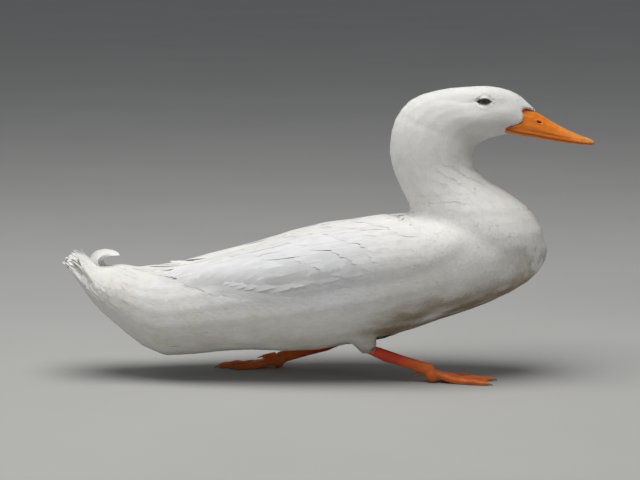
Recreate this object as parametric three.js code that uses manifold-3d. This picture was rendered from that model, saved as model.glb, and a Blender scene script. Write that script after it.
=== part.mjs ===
// A white domestic drake in mid-stride, life size, as a still museum model: head low and forward on a thick,
// S-shaped neck, right leg reaching ahead, left leg pushing off behind, tail cocked with its curled feathers.
// Millimetres. +X points to the bill, +Y to the bird's left and +Z up; the feet stand on z = 0.
// Every piece is one closed solid, and neighbours are cut back from each other by a thin gap.
import * as THREE from "three";
import { mergeVertices } from "three/addons/utils/BufferGeometryUtils.js";
import Module from "manifold-3d";

const wasm = await Module();
wasm.setup();

// ---------- driving dimensions ----------

const GAP = 0.3; // between pieces that touch
const BREAST_X = 240; // foremost point of the breast
const BREAST_ROUND_X = 150; // the breast rounds off ahead of this
const RUMP_X = -268; // hindmost flesh, inside the tail
const RUMP_ROUND_X = -228;
const RIGHT = -1;
const LEFT = 1;

// Upright sections of the trunk: height of the middle, half height and half width.
const TRUNK = [
  { x: RUMP_X, z: 104, high: 24, wide: 37 },
  { x: -223, z: 86, high: 37, wide: 47 },
  { x: -197, z: 73.5, high: 45, wide: 54 },
  { x: -170, z: 72, high: 49, wide: 61 },
  { x: -131, z: 79.5, high: 51.5, wide: 68 },
  { x: -78, z: 88, high: 57.5, wide: 74 },
  { x: -25, z: 96.5, high: 67.5, wide: 77.5 },
  { x: 28, z: 106, high: 68, wide: 78.5 },
  { x: 80, z: 115.5, high: 65.5, wide: 76 },
  { x: 133, z: 126, high: 58, wide: 70 },
  { x: 186, z: 134.5, high: 51, wide: 62 },
  { x: BREAST_X, z: 139.5, high: 48, wide: 58 },
];
const TRUNK_SQUARE = 2.25; // 2 is an ellipse, more is boxier

// Sections across the neck and head, from inside the breast to the forehead. Each spans from a point on the
// nape or crown to one on the throat or chin; lean widens its throat side.
const NECK_AND_HEAD = [
  { napeX: 122, napeZ: 126, throatX: 218, throatZ: 114, wide: 46, lean: 0 },
  { napeX: 106, napeZ: 156, throatX: 237, throatZ: 150, wide: 58, lean: 0 },
  { napeX: 92, napeZ: 181, throatX: 223, throatZ: 182, wide: 52, lean: 0 },
  { napeX: 84, napeZ: 198, throatX: 197, throatZ: 203.5, wide: 42, lean: 0 },
  { napeX: 76, napeZ: 215, throatX: 172, throatZ: 218, wide: 35, lean: 0 },
  { napeX: 68.5, napeZ: 235, throatX: 159.5, throatZ: 233, wide: 31.5, lean: 0 },
  { napeX: 66.5, napeZ: 257, throatX: 158, throatZ: 247, wide: 30.5, lean: 0 },
  { napeX: 72, napeZ: 284, throatX: 161.5, throatZ: 255, wide: 28.5, lean: 0.03 },
  { napeX: 90, napeZ: 306.5, throatX: 168, throatZ: 260.5, wide: 26.5, lean: 0.08 },
  { napeX: 121, napeZ: 316.8, throatX: 176, throatZ: 264, wide: 25.5, lean: 0.12 },
  { napeX: 152, napeZ: 320.2, throatX: 185, throatZ: 266, wide: 24.5, lean: 0.16 },
  { napeX: 181, napeZ: 320, throatX: 193, throatZ: 268, wide: 20.5, lean: 0.2 },
  { napeX: 204, napeZ: 313, throatX: 201, throatZ: 269.5, wide: 16.2, lean: 0.24 },
  { napeX: 219, napeZ: 301, throatX: 208, throatZ: 270, wide: 14.2, lean: 0.3 },
  { napeX: 226, napeZ: 293.5, throatX: 213, throatZ: 270, wide: 13, lean: 0.3 },
];
const HEAD_CUT = { napeX: 74, napeZ: 288, throatX: 162, throatZ: 256 }; // between neck and head
const NECK_CUT = { napeX: 92, napeZ: 180, throatX: 224, throatZ: 184 }; // between trunk and neck

// Upright sections of the upper bill: ridge height, height of its cutting edge, half width.
const BILL = [
  { x: 184, ridge: 300, edge: 277, wide: 20 },
  { x: 194, ridge: 300, edge: 275, wide: 17.8 },
  { x: 204, ridge: 299, edge: 272.5, wide: 16 },
  { x: 215, ridge: 297, edge: 270.3, wide: 14.6 },
  { x: 227, ridge: 292.5, edge: 268.3, wide: 13.8 },
  { x: 243, ridge: 282.2, edge: 264.9, wide: 13.6 },
  { x: 259, ridge: 273.8, edge: 262.1, wide: 14.6 },
  { x: 275, ridge: 266.8, edge: 259.8, wide: 15.6 },
  { x: 292, ridge: 261.3, edge: 257.8, wide: 15.4 },
];
const BILL_TIP_X = 290;
const BILL_ROUND_X = 272; // the tip is rounded ahead of this
const LOWER_BILL_SHARE = 0.86; // of the upper bill's width
const LOWER_BILL_DEPTH = 5.5; // at the gape; half as much at the tip
// Where bare bill meets feather, seen from the side: forehead point, side lobe, cheek, gape and chin.
const FEATHER_LINE = [
  [246, 311],
  [227.5, 293.4],
  [211, 297.8],
  [209.8, 294],
  [212.4, 288],
  [210.5, 283],
  [203, 279.2],
  [193.8, 276.6],
  [193.4, 271.6],
  [203, 268],
  [212, 263],
  [212, 240],
];
const FEATHER_LINE_FRONT = 320;

const EYE = { x: 169.5, z: 304.6, radius: 7.6, sunk: 6.9 }; // sunk is the centre's depth under the skin

// Folded wing, on the trunk's side: angles down from the back's midline of its upper and lower edges.
const WING = [
  { x: 150, upper: 50, lower: 62 },
  { x: 138, upper: 40, lower: 74 },
  { x: 96, upper: 30, lower: 84 },
  { x: 28, upper: 23, lower: 84 },
  { x: -64, upper: 16, lower: 82 },
  { x: -139, upper: 6, lower: 55 },
  { x: -190, upper: 4, lower: 24 },
  { x: -206, upper: 6, lower: 14 },
];
const WING_PROUD = 6.5; // how far its middle stands out of the trunk
const WING_SUNK = 3; // how far its inner face lies in the trunk
const WING_EDGE = 0.8; // how far its edges stand out

// Upright sections of the tail's fan with its coverts.
const TAIL = [
  { x: -218, top: 112, bottom: 64, wide: 38 },
  { x: -236, top: 120, bottom: 60, wide: 44 },
  { x: -250, top: 122.5, bottom: 73, wide: 45 },
  { x: -263, top: 126.5, bottom: 91, wide: 43 },
  { x: -276, top: 134.5, bottom: 114, wide: 36 },
  { x: -284, top: 135.5, bottom: 121, wide: 26 },
  { x: -290, top: 128.5, bottom: 124.5, wide: 13 },
];
// The drake's curled feathers: a stalk up out of the tail and a hook forward.
const CURLS = [
  { name: "curl_1", y: -4.5, radius: 17, centreX: -243, centreZ: 122.8, turn: 165 },
  { name: "curl_2", y: 2, radius: 14.2, centreX: -243, centreZ: 124.6, turn: 175 },
  { name: "curl_3", y: 8.5, radius: 11.8, centreX: -248, centreZ: 124.6, turn: 150 },
];
const CURL_WIDE = 6;
const CURL_THICK = 2.6;

// Legs. The right foot is planted ahead, and the left one trails at the end of its stride with its toes drawn
// together and laid back on the floor. The joint is where the toes meet the shank, and yaw turns the toes.
const LEGS = [
  {
    side: RIGHT,
    name: "right",
    hip: [22, -40, 78],
    hock: [45, -43, 35],
    joint: [113, -42, 13],
    ahead: 1,
    spreading: 1,
    yaw: 6,
    hindToeRise: -5,
  },
  {
    side: LEFT,
    name: "left",
    hip: [-12, 40, 78],
    hock: [14, 42, 30],
    joint: [-57, 43, 10.5],
    ahead: -1,
    spreading: 0.5,
    yaw: 4,
    hindToeRise: 5,
  },
];
const THIGH_RADII = [24, 21.5, 14, 9.2]; // from the body to the hock
const SHANK_DEEP = [7.2, 6.4, 6.2, 7.2]; // half its depth, hock to foot
const SHANK_WIDE = [5.8, 4.4, 4.3, 5.8]; // half its width
const LIMB_STEPS = [0, 0.04, 0.25, 0.5, 0.75, 0.96, 1]; // a limb's sections, as shares of its length
const LIMB_END = 0.75; // how much of its size a limb's bevelled end keeps
const BALL_RADIUS = 8.4; // the pad under the joint
const BALL_SINK = 0.8; // how much of the pad is flattened off
const TOES = [
  { name: "inner", length: 50, spread: 27, joints: 2 },
  { name: "middle", length: 66, spread: 0, joints: 3 },
  { name: "outer", length: 62, spread: -24, joints: 4 },
];
const TOE_RADII = [5.2, 3.1]; // at the ball and behind the claw
const TOE_SINK = 0.8; // flattened off below this share of its radius
const TOE_LANDING = 30; // a toe comes down from the ball to the floor over this length
const WEB_THICK = 1.8;
const WEB_NOTCH = 0.2; // how far the web's free edge is drawn in, as a share of the toes' length
const CLAW_LENGTH = 8;
const HIND_TOE = { length: 15, radius: 2.7, turn: 14 };

// ---------- shape tools ----------

const degrees = THREE.MathUtils.degToRad;
const at = (x, y, z) => new THREE.Vector3(x, y, z);

// A closed geometry as a solid that can be joined and cut.
function solidOf(geometry) {
  const bare = geometry.clone();
  bare.deleteAttribute("normal");
  bare.deleteAttribute("uv");
  const merged = mergeVertices(bare, 1e-4);
  return new wasm.Manifold(
    new wasm.Mesh({
      numProp: 3,
      vertProperties: new Float32Array(merged.attributes.position.array),
      triVerts: new Uint32Array(merged.index.array),
    }),
  );
}

function geometryOf(solid) {
  const mesh = solid.getMesh();
  const geometry = new THREE.BufferGeometry();
  geometry.setAttribute("position", new THREE.BufferAttribute(mesh.vertProperties, 3));
  geometry.setIndex(new THREE.BufferAttribute(mesh.triVerts, 1));
  geometry.computeVertexNormals();
  return geometry;
}

// A solid through rings of points, with a cap at each end. Each ring runs counterclockwise seen from the last.
function loft(rings) {
  const count = rings[0].length;
  const points = rings.flat();
  const middle = (ring) => {
    const sum = ring.reduce((total, point) => total.add(point), at(0, 0, 0));
    return sum.divideScalar(count);
  };
  const first = points.push(middle(rings[0])) - 1;
  const last = points.push(middle(rings.at(-1))) - 1;
  const index = [];
  for (let k = 0; k < count; k++) {
    const next = (k + 1) % count;
    const end = (rings.length - 1) * count;
    index.push(first, next, k, last, end + k, end + next);
    for (let start = 0; start < end; start += count) {
      const above = start + count;
      index.push(start + k, start + next, above + next, start + k, above + next, above + k);
    }
  }
  const geometry = new THREE.BufferGeometry().setFromPoints(points);
  geometry.setIndex(index);
  return solidOf(geometry);
}

const steps = (count) => Array.from({ length: count }, (_, i) => i / (count - 1));
const turns = (count) => Array.from({ length: count }, (_, i) => (2 * Math.PI * i) / count);
// Steps that crowd towards both ends, for rounded ends.
const eased = (count) => steps(count).map((t) => (1 - Math.cos(Math.PI * t)) / 2);
const signedPower = (value, power) => Math.sign(value) * Math.abs(value) ** power;

// A smooth curve's value at u between b and c.
function smooth(a, b, c, d, u) {
  const bend = 2 * a - 5 * b + 4 * c - d;
  const twist = 3 * (b - c) + d - a;
  return b + 0.5 * u * (c - a + u * (bend + u * twist));
}

// Every value of the stations, at share t of the way along them.
function along(stations, t) {
  const place = t * (stations.length - 1);
  const i = Math.min(Math.floor(place), stations.length - 2);
  const near = [i - 1, i, i + 1, i + 2].map(
    (k) => stations[THREE.MathUtils.clamp(k, 0, stations.length - 1)],
  );
  const entries = Object.keys(stations[0]).map((key) => [
    key,
    smooth(...near.map((station) => station[key]), place - i),
  ]);
  return Object.fromEntries(entries);
}

// Every value of the stations where they pass x. Their x runs one way.
function alongX(stations, x) {
  let [low, high] = [0, 1];
  const rising = stations.at(-1).x > stations[0].x;
  for (let i = 0; i < 30; i++) {
    const middle = (low + high) / 2;
    if (along(stations, middle).x < x === rising) low = middle;
    else high = middle;
  }
  return { ...along(stations, (low + high) / 2), x };
}

// How much of its size a rounded end keeps at x.
function rounding(x, start, end) {
  const share = THREE.MathUtils.clamp((x - start) / (end - start), 0, 0.999);
  return Math.sqrt(1 - share * share);
}

// Everything above a cut across the body, as a thick slab with its underside on the cut.
function beyond({ napeX, napeZ, throatX, throatZ }, size = 400) {
  const slab = new THREE.BoxGeometry(size, size, size);
  const tilt = Math.atan2(throatZ - napeZ, throatX - napeX);
  slab.translate(0, 0, size / 2);
  slab.rotateY(-tilt);
  slab.translate((napeX + throatX) / 2, 0, (napeZ + throatZ) / 2);
  return solidOf(slab);
}

// ---------- trunk, neck and head ----------

// A point on the trunk's skin: angle runs down from the back's midline, to the left for side 1.
function trunkPoint(x, angle, side, proud = 0) {
  const { z, high, wide } = alongX(TRUNK, x);
  const round =
    rounding(x, BREAST_ROUND_X, BREAST_X) * rounding(x, RUMP_ROUND_X, RUMP_X);
  const power = 2 / TRUNK_SQUARE;
  const across = signedPower(Math.sin(angle), power) * (wide * round + proud);
  const up = signedPower(Math.cos(angle), power) * (high * round + proud);
  return at(x, side * across, z + up);
}

function trunkBody(grow = 0) {
  const rings = eased(23).map((t) => {
    const x = THREE.MathUtils.lerp(RUMP_X, BREAST_X, t);
    return turns(22).map((angle) => trunkPoint(x, angle, -1, grow));
  });
  return loft(rings);
}

function neckAndHeadBody(grow = 0) {
  const rings = steps(31).map((t) => {
    const { napeX, napeZ, throatX, throatZ, wide, lean } = along(NECK_AND_HEAD, t);
    const middle = at((napeX + throatX) / 2, 0, (napeZ + throatZ) / 2);
    const up = at((napeX - throatX) / 2, 0, (napeZ - throatZ) / 2);
    up.setLength(up.length() + grow);
    return turns(20).map((angle) => {
      const across = -Math.sin(angle) * (1 - lean * Math.cos(angle)) * (wide + grow);
      return middle.clone().addScaledVector(up, Math.cos(angle)).add(at(0, across, 0));
    });
  });
  return loft(rings);
}

// ---------- bill ----------

// The upper bill is a vault on its cutting edge; the lower is a shallow trough under it.
function billBody(upper) {
  const rings = eased(13).map((t) => {
    const x = THREE.MathUtils.lerp(BILL[0].x, BILL_TIP_X, t);
    const { ridge, edge, wide } = alongX(BILL, x);
    const round = rounding(x, BILL_ROUND_X, BILL_TIP_X);
    const share = (x - BILL[0].x) / (BILL_TIP_X - BILL[0].x);
    const depth = LOWER_BILL_DEPTH * (1 - share / 2);
    const half = wide * round * (upper ? 1 : LOWER_BILL_SHARE);
    const rise = upper ? (ridge - edge) * (0.3 + 0.7 * round) : -depth * (0.4 + 0.6 * round);
    const floor = upper ? edge : edge - GAP;
    const vault = turns(14).map((angle) => {
      const height = Math.max(0, Math.cos(angle)) ** 0.8 * rise;
      const across = -Math.sin(angle) * half * (upper ? 1 - 0.12 * Math.max(0, Math.cos(angle)) : 1);
      return at(x, across, floor + height);
    });
    return upper ? vault : vault.reverse();
  });
  return loft(rings);
}

// All that lies ahead of the feather line, moved by shiftX and shiftZ.
function aheadOfFeathers(shiftX = 0, shiftZ = 0) {
  const outline = new THREE.Shape();
  outline.moveTo(FEATHER_LINE_FRONT, FEATHER_LINE[0][1]);
  FEATHER_LINE.forEach(([x, z]) => outline.lineTo(x, z));
  outline.lineTo(FEATHER_LINE_FRONT, FEATHER_LINE.at(-1)[1]);
  const block = new THREE.ExtrudeGeometry(outline, { depth: 120, bevelEnabled: false });
  block.translate(0, 0, -60);
  block.rotateX(Math.PI / 2);
  block.translate(shiftX, 0, shiftZ);
  return solidOf(block);
}

// ---------- eyes ----------

function eyeCentre(side) {
  const nearest = steps(400)
    .map((t) => along(NECK_AND_HEAD, t))
    .map(({ napeX, napeZ, throatX, throatZ, wide, lean }) => {
      const share = (napeZ - EYE.z) / (napeZ - throatZ);
      const up = 1 - 2 * share;
      return {
        off: Math.abs(napeX + (throatX - napeX) * share - EYE.x) + (Math.abs(up) > 1 ? 1000 : 0),
        across: Math.sqrt(Math.max(0, 1 - up * up)) * (1 - lean * up) * wide,
      };
    })
    .reduce((best, one) => (one.off < best.off ? one : best));
  return at(EYE.x, side * (nearest.across - EYE.sunk), EYE.z);
}

function eyeBall(side, grow = 0) {
  const ball = new THREE.SphereGeometry(EYE.radius + grow, 12, 8);
  ball.rotateX(Math.PI / 2);
  ball.translate(...eyeCentre(side));
  return solidOf(ball);
}

// ---------- wings ----------

function wingBody(side, grow = 0) {
  const rings = eased(16).map((t) => {
    const x = THREE.MathUtils.lerp(WING[0].x + grow, WING.at(-1).x - grow, t);
    const { upper, lower } = alongX(WING, x);
    const thin = Math.sin(Math.PI * t) ** 0.35;
    const extra = degrees(grow);
    const outer = steps(8).map((share) => {
      const angle = THREE.MathUtils.lerp(degrees(upper) - extra, degrees(lower) + extra, share);
      const bulge = Math.sin(Math.PI * share) ** 0.6 * WING_PROUD * thin;
      return trunkPoint(x, angle, side, WING_EDGE + bulge + grow);
    });
    const inner = steps(4).map((share) => {
      const angle = THREE.MathUtils.lerp(degrees(lower) + extra, degrees(upper) - extra, share);
      return trunkPoint(x, angle, side, -WING_SUNK * thin - grow);
    });
    const ring = [...outer, ...inner];
    return side === RIGHT ? ring.reverse() : ring;
  });
  return loft(rings);
}

// ---------- tail ----------

function tailBody() {
  const rings = steps(12).map((t) => {
    const { x, top, bottom, wide } = along(TAIL, t);
    return turns(14).map((angle) => {
      const across = signedPower(Math.sin(angle), 0.9) * wide;
      return at(x, across, (top + bottom) / 2 + (Math.cos(angle) * (top - bottom)) / 2);
    });
  });
  return loft(rings);
}

// A flat feather that climbs from the tail and hooks forward round its centre.
function curlBody({ y, radius, centreX, centreZ, turn }) {
  const rings = steps(10).map((t) => {
    const angle = degrees(215 - t * turn);
    const size = 1 - 0.75 * t * t;
    const outward = at(Math.cos(angle), 0, Math.sin(angle));
    const middle = at(centreX, y, centreZ).addScaledVector(outward, radius);
    return turns(6).map((around) =>
      middle
        .clone()
        .addScaledVector(outward, (Math.cos(around) * CURL_THICK * (0.5 + 0.5 * size)) / 2)
        .add(at(0, (-Math.sin(around) * CURL_WIDE * size) / 2, 0)),
    );
  });
  return loft(rings);
}

// ---------- legs ----------

// A value of a plain list at share t of the way along it.
function sizeAlong(list, t) {
  const place = t * (list.length - 1);
  const i = Math.min(Math.floor(place), list.length - 2);
  const near = [i - 1, i, i + 1, i + 2].map((k) => list[THREE.MathUtils.clamp(k, 0, list.length - 1)]);
  return smooth(...near, place - i);
}

// A tapered limb from one end to the other, with half sizes in the leg's upright plane and across it.
function limb(start, end, deep, wide, grow = 0, sides = 10) {
  const ahead = end.clone().sub(start).normalize();
  const across = at(0, 1, 0);
  const up = new THREE.Vector3().crossVectors(across, ahead).normalize();
  const first = start.clone().addScaledVector(ahead, -grow);
  const last = end.clone().addScaledVector(ahead, grow);
  const rings = LIMB_STEPS.map((t) => {
    const middle = first.clone().lerp(last, t);
    const kept = t > 0 && t < 1 ? 1 : LIMB_END;
    return turns(sides).map((angle) =>
      middle
        .clone()
        .addScaledVector(up, Math.cos(angle) * (sizeAlong(deep, t) + grow) * kept)
        .addScaledVector(across, Math.sin(angle) * (sizeAlong(wide, t) + grow) * kept),
    );
  });
  return loft(rings);
}

function thighBody(leg, grow = 0) {
  const wide = THIGH_RADII.map((radius) => radius * 0.85);
  return limb(at(...leg.hip), at(...leg.hock), THIGH_RADII, wide, grow, 12);
}

function shankBody(leg, grow = 0) {
  return limb(at(...leg.hock), at(...leg.joint), SHANK_DEEP, SHANK_WIDE, grow);
}

// The floor, for flattening what rests on it.
function underFloor() {
  const slab = new THREE.BoxGeometry(1000, 1000, 50);
  slab.translate(0, 0, -25);
  return solidOf(slab);
}

// A toe's heading, counterclockwise from +X. The inner toe spreads towards the bird's midline.
function toeHeading(toe, leg) {
  const spread = degrees(toe.spread * leg.spreading);
  const heading = Math.atan2(-leg.side * Math.sin(spread), leg.ahead * Math.cos(spread));
  return heading - leg.side * leg.ahead * degrees(leg.yaw);
}

// The middle of a toe or of the web, which comes down from the joint and then lies on the floor.
function footPoint(leg, heading, distance, restHeight) {
  const [x, y, z] = leg.joint;
  const landed = THREE.MathUtils.smoothstep(distance, -TOE_LANDING / 4, TOE_LANDING);
  const height = THREE.MathUtils.lerp(z - 2, restHeight, landed);
  return at(x + Math.cos(heading) * distance, y + Math.sin(heading) * distance, height);
}

// A ring round a point, square to a level heading.
function ringAcross(middle, heading, radius, sides) {
  return turns(sides).map((angle) => {
    const across = Math.sin(angle) * radius;
    const offset = at(-Math.sin(heading) * across, Math.cos(heading) * across, -Math.cos(angle) * radius);
    return middle.clone().add(offset);
  });
}

function toeBody(toe, leg) {
  const heading = toeHeading(toe, leg);
  const rings = steps(2 * toe.joints + 1).map((t) => {
    const knuckle = 1 + 0.1 * Math.cos(2 * Math.PI * toe.joints * t);
    const radius = THREE.MathUtils.lerp(...TOE_RADII, t) * knuckle;
    const middle = footPoint(leg, heading, t * toe.length, radius * TOE_SINK);
    return ringAcross(middle, heading, radius, 7);
  });
  return loft(rings);
}

// A thin closed sheet between two neighbouring toes, its free edge drawn in between their tips.
function webBody(toe, next, leg) {
  const headings = [toeHeading(toe, leg), toeHeading(next, leg)];
  const rings = steps(5).map((t) => {
    const share = THREE.MathUtils.lerp(0.06, 0.96, t);
    const surface = (u, height) => {
      const drawn = 1 - WEB_NOTCH * 4 * u * (1 - u);
      const [a, b] = [toe, next].map(({ length }, k) =>
        footPoint(leg, headings[k], length * share * drawn, 0),
      );
      return a.lerp(b, u).add(at(0, 0, height));
    };
    const across = steps(4);
    const top = across.map((u) => surface(u, WEB_THICK));
    const bottom = across.map((u) => surface(u, 0)).reverse();
    const ring = [...top, ...bottom];
    return leg.side * leg.ahead > 0 ? ring.reverse() : ring;
  });
  return loft(rings);
}

function footBody(leg) {
  const ball = new THREE.SphereGeometry(BALL_RADIUS, 8, 6);
  const [x, y] = leg.joint;
  ball.translate(x, y, BALL_RADIUS - BALL_SINK);
  let foot = solidOf(ball);
  TOES.forEach((toe) => (foot = foot.add(toeBody(toe, leg))));
  foot = foot.add(webBody(TOES[0], TOES[1], leg)).add(webBody(TOES[1], TOES[2], leg));
  return foot.subtract(underFloor());
}

// A small curved cone that drops as it goes.
function clawBody(start, heading, radius, drop) {
  const rings = steps(4).map((t) => {
    const reach = t * CLAW_LENGTH;
    const offset = at(Math.cos(heading) * reach, Math.sin(heading) * reach, -drop * t * t);
    return ringAcross(start.clone().add(offset), heading, radius * (1 - 0.8 * t), 6);
  });
  return loft(rings);
}

function toeClaw(toe, leg) {
  const heading = toeHeading(toe, leg);
  const start = footPoint(leg, heading, toe.length - 2, TOE_RADII[1] * TOE_SINK);
  return clawBody(start, heading, 2, 1.6);
}

// The short hind toe springs from the back of the joint, turned a little inwards.
const hindHeading = (leg) => Math.PI + leg.side * degrees(HIND_TOE.turn);

function hindToePoint(leg, share) {
  const heading = hindHeading(leg);
  const [x, y, z] = leg.joint;
  const reach = 3 + share * HIND_TOE.length;
  const height = z + leg.hindToeRise * (leg.hindToeRise > 0 ? 1 - share * 0.5 : share);
  return at(x + Math.cos(heading) * reach, y + Math.sin(heading) * reach, height);
}

function hindToeBody(leg, grow = 0) {
  const rings = steps(4).map((t) => {
    const radius = HIND_TOE.radius * (1 - 0.25 * t) + grow;
    return ringAcross(hindToePoint(leg, t), hindHeading(leg), radius, 8);
  });
  return loft(rings);
}

function hindClaw(leg) {
  return clawBody(hindToePoint(leg, 0.9), hindHeading(leg), 1.5, 1.2);
}

// ---------- the bird ----------

const MATERIALS = {
  plumage: new THREE.MeshStandardMaterial({ color: 0xeeebe2, roughness: 0.85 }),
  bill: new THREE.MeshStandardMaterial({ color: 0xe8892a, roughness: 0.45 }),
  leg: new THREE.MeshStandardMaterial({ color: 0xd9481c, roughness: 0.55 }),
  claw: new THREE.MeshStandardMaterial({ color: 0xc9a27a, roughness: 0.5 }),
  eye: new THREE.MeshStandardMaterial({ color: 0x120c0a, roughness: 0.08 }),
};

const drake = new THREE.Group();

function addPiece(name, solid, material) {
  const mesh = new THREE.Mesh(geometryOf(solid), MATERIALS[material]);
  mesh.name = name;
  drake.add(mesh);
}

// The body is modelled whole and parted with thin cuts.
const trunk = trunkBody();
const body = trunk.add(neckAndHeadBody());
const aboveNeckCut = beyond(NECK_CUT);
const aboveHeadCut = beyond(HEAD_CUT);
const lower = (cut) => ({ ...cut, napeZ: cut.napeZ - GAP, throatZ: cut.throatZ - GAP });
const sides = [LEFT, RIGHT];

let head = body.intersect(aboveHeadCut);
const shifts = [[-GAP, 0], [0, GAP], [0, -GAP]];
shifts.forEach((shift) => (head = head.subtract(aheadOfFeathers(...shift))));
sides.forEach((side) => (head = head.subtract(eyeBall(side, GAP))));
const neck = body.intersect(aboveNeckCut).subtract(beyond(lower(HEAD_CUT)));
let torso = body.subtract(beyond(lower(NECK_CUT)));
sides.forEach((side) => (torso = torso.subtract(wingBody(side, GAP))));
LEGS.forEach((leg) => (torso = torso.subtract(thighBody(leg, GAP))));

addPiece("head", head, "plumage");
addPiece("neck", neck, "plumage");
addPiece("trunk", torso, "plumage");

const bare = aheadOfFeathers();
addPiece("bill_upper", billBody(true).intersect(bare), "bill");
addPiece("bill_lower", billBody(false).intersect(bare), "bill");

const sideNames = { [LEFT]: "left", [RIGHT]: "right" };
sides.forEach((side) => {
  addPiece("eye_" + sideNames[side], eyeBall(side), "eye");
  addPiece("wing_" + sideNames[side], wingBody(side).subtract(beyond(lower(NECK_CUT))), "plumage");
});

const tail = tailBody().subtract(trunkBody(GAP));
const curls = CURLS.map((curl) => [curl.name, curlBody(curl)]);
curls.forEach(([name, curl]) => addPiece(name, curl.subtract(tailBody()), "plumage"));
addPiece("tail", tail, "plumage");

LEGS.forEach((leg) => {
  const shank = shankBody(leg);
  const wholeFoot = footBody(leg);
  const foot = wholeFoot.subtract(shankBody(leg, GAP)).subtract(hindToeBody(leg, GAP));
  const hindToe = hindToeBody(leg).subtract(shankBody(leg, GAP)).subtract(underFloor());
  addPiece("thigh_" + leg.name, thighBody(leg).subtract(shankBody(leg, GAP)), "plumage");
  addPiece("shank_" + leg.name, shank, "leg");
  addPiece("hind_toe_" + leg.name, hindToe, "leg");
  let clawless = foot;
  TOES.forEach((toe) => {
    const claw = toeClaw(toe, leg).subtract(underFloor());
    addPiece("claw_" + leg.name + "_" + toe.name, claw, "claw");
    clawless = clawless.subtract(toeClaw(toe, leg).subtract(underFloor()));
  });
  addPiece("foot_" + leg.name, clawless, "leg");
  const claw = hindClaw(leg).subtract(hindToeBody(leg, GAP)).subtract(underFloor());
  addPiece("claw_" + leg.name + "_hind", claw, "claw");
});

export default drake;
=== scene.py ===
"""A white domestic drake in mid stride, life size. One skin runs under a coat of solid vanes, from the
face's smallest feathers to the long ones of wing and tail. Shapes are worked out in millimetres."""

import math

import bpy
import numpy as np
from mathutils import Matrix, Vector
from mathutils.bvhtree import BVHTree
from mathutils.kdtree import KDTree


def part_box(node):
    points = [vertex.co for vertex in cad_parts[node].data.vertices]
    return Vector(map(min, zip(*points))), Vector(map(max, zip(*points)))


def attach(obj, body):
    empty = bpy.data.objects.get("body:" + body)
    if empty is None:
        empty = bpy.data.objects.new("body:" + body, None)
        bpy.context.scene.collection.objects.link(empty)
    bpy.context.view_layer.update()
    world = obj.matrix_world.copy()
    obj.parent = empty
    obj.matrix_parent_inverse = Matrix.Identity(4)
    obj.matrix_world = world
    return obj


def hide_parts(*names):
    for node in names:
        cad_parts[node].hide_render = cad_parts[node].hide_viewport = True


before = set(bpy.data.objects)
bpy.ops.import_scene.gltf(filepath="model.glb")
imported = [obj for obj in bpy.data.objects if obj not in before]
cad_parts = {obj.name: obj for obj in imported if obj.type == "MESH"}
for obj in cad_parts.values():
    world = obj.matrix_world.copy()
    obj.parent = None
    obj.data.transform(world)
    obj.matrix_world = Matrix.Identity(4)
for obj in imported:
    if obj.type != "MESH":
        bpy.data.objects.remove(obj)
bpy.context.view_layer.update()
MM = 0.001
rng = np.random.default_rng(20)
scene = bpy.context.scene

RIGHT, LEFT = -1, 1
SIDES = {"right": RIGHT, "left": LEFT}
UP = np.array([0.0, 0.0, 1.0])
AHEAD = np.array([1.0, 0.0, 0.0])
TURN = 2 * math.pi
FAR = 99.0  # millimetres, farther than anything that is looked for


# ---------- small tools


def unit(v):
    return v / np.maximum(np.linalg.norm(v, axis=-1, keepdims=True), 1e-9)


def flat(v, normal):
    """The part of v across normal, one unit long."""
    return unit(v - normal * (v * normal).sum(-1, keepdims=True))


def ramp(value, start, end):
    """From 0 at start to 1 at end, with soft ends."""
    t = np.clip((value - start) / (end - start), 0, 1)
    return t * t * (3 - 2 * t)


def bell(value, centre, spread):
    return np.exp(-(((value - centre) / spread) ** 2))


LATTICE = 29
lattice = rng.random((LATTICE,) * 3)


def noise(points, size, seed=0):
    """Smooth noise from -1 to 1 with features about size millimetres across, one size or one per axis."""
    q = points / size + seed * 7.31
    whole = np.floor(q).astype(int)
    f = q - whole
    f = f * f * (3 - 2 * f)
    total = 0
    for corner in np.ndindex(2, 2, 2):
        weight = 1
        for axis in range(3):
            weight = weight * (f[..., axis] if corner[axis] else 1 - f[..., axis])
        at = [(whole[..., axis] + corner[axis]) % LATTICE for axis in range(3)]
        total = total + weight * lattice[at[0], at[1], at[2]]
    return total * 2 - 1


def run_along(points):
    """How far along a line each of its points is."""
    return np.r_[0, np.cumsum(np.linalg.norm(np.diff(points, axis=0), axis=1))]


def even_line(points, count):
    """count points evenly along a smooth line through these."""
    points = np.array(points, float)
    run = run_along(points)
    fine = np.linspace(0, run[-1], count)
    line = np.stack([np.interp(fine, run, points[:, k]) for k in range(3)], 1)
    for _ in range(8):
        line[1:-1] = (line[:-2] + 2 * line[1:-1] + line[2:]) / 4
    return line


# ---------- meshes


class Surface:
    """A closed mesh of quads."""

    def __init__(self, points, faces):
        self.points, self.faces = points, faces
        self.start = faces.ravel()
        self.end = np.roll(faces, -1, axis=1).ravel()
        self.degree = np.maximum(np.bincount(self.start, minlength=len(points)), 1)

    def around(self, values):
        """The mean of each point's neighbours."""
        total = [
            np.bincount(self.start, values[self.end, k], len(self.points))
            for k in range(values.shape[1])
        ]
        return np.stack(total, 1) / self.degree[:, None]

    def smooth(self, rounds):
        """Evens out the points. The second step puts back what the first took off."""
        for _ in range(rounds):
            for share in (0.5, -0.53):
                self.points = self.points + share * (self.around(self.points) - self.points)

    def normals(self):
        p = self.points[self.faces]
        across = np.cross(p[:, 2] - p[:, 0], p[:, 3] - p[:, 1])
        total = np.zeros_like(self.points)
        for corner in range(4):
            for axis in range(3):
                total[:, axis] += np.bincount(
                    self.faces[:, corner], across[:, axis], len(self.points)
                )
        return unit(total)


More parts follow.
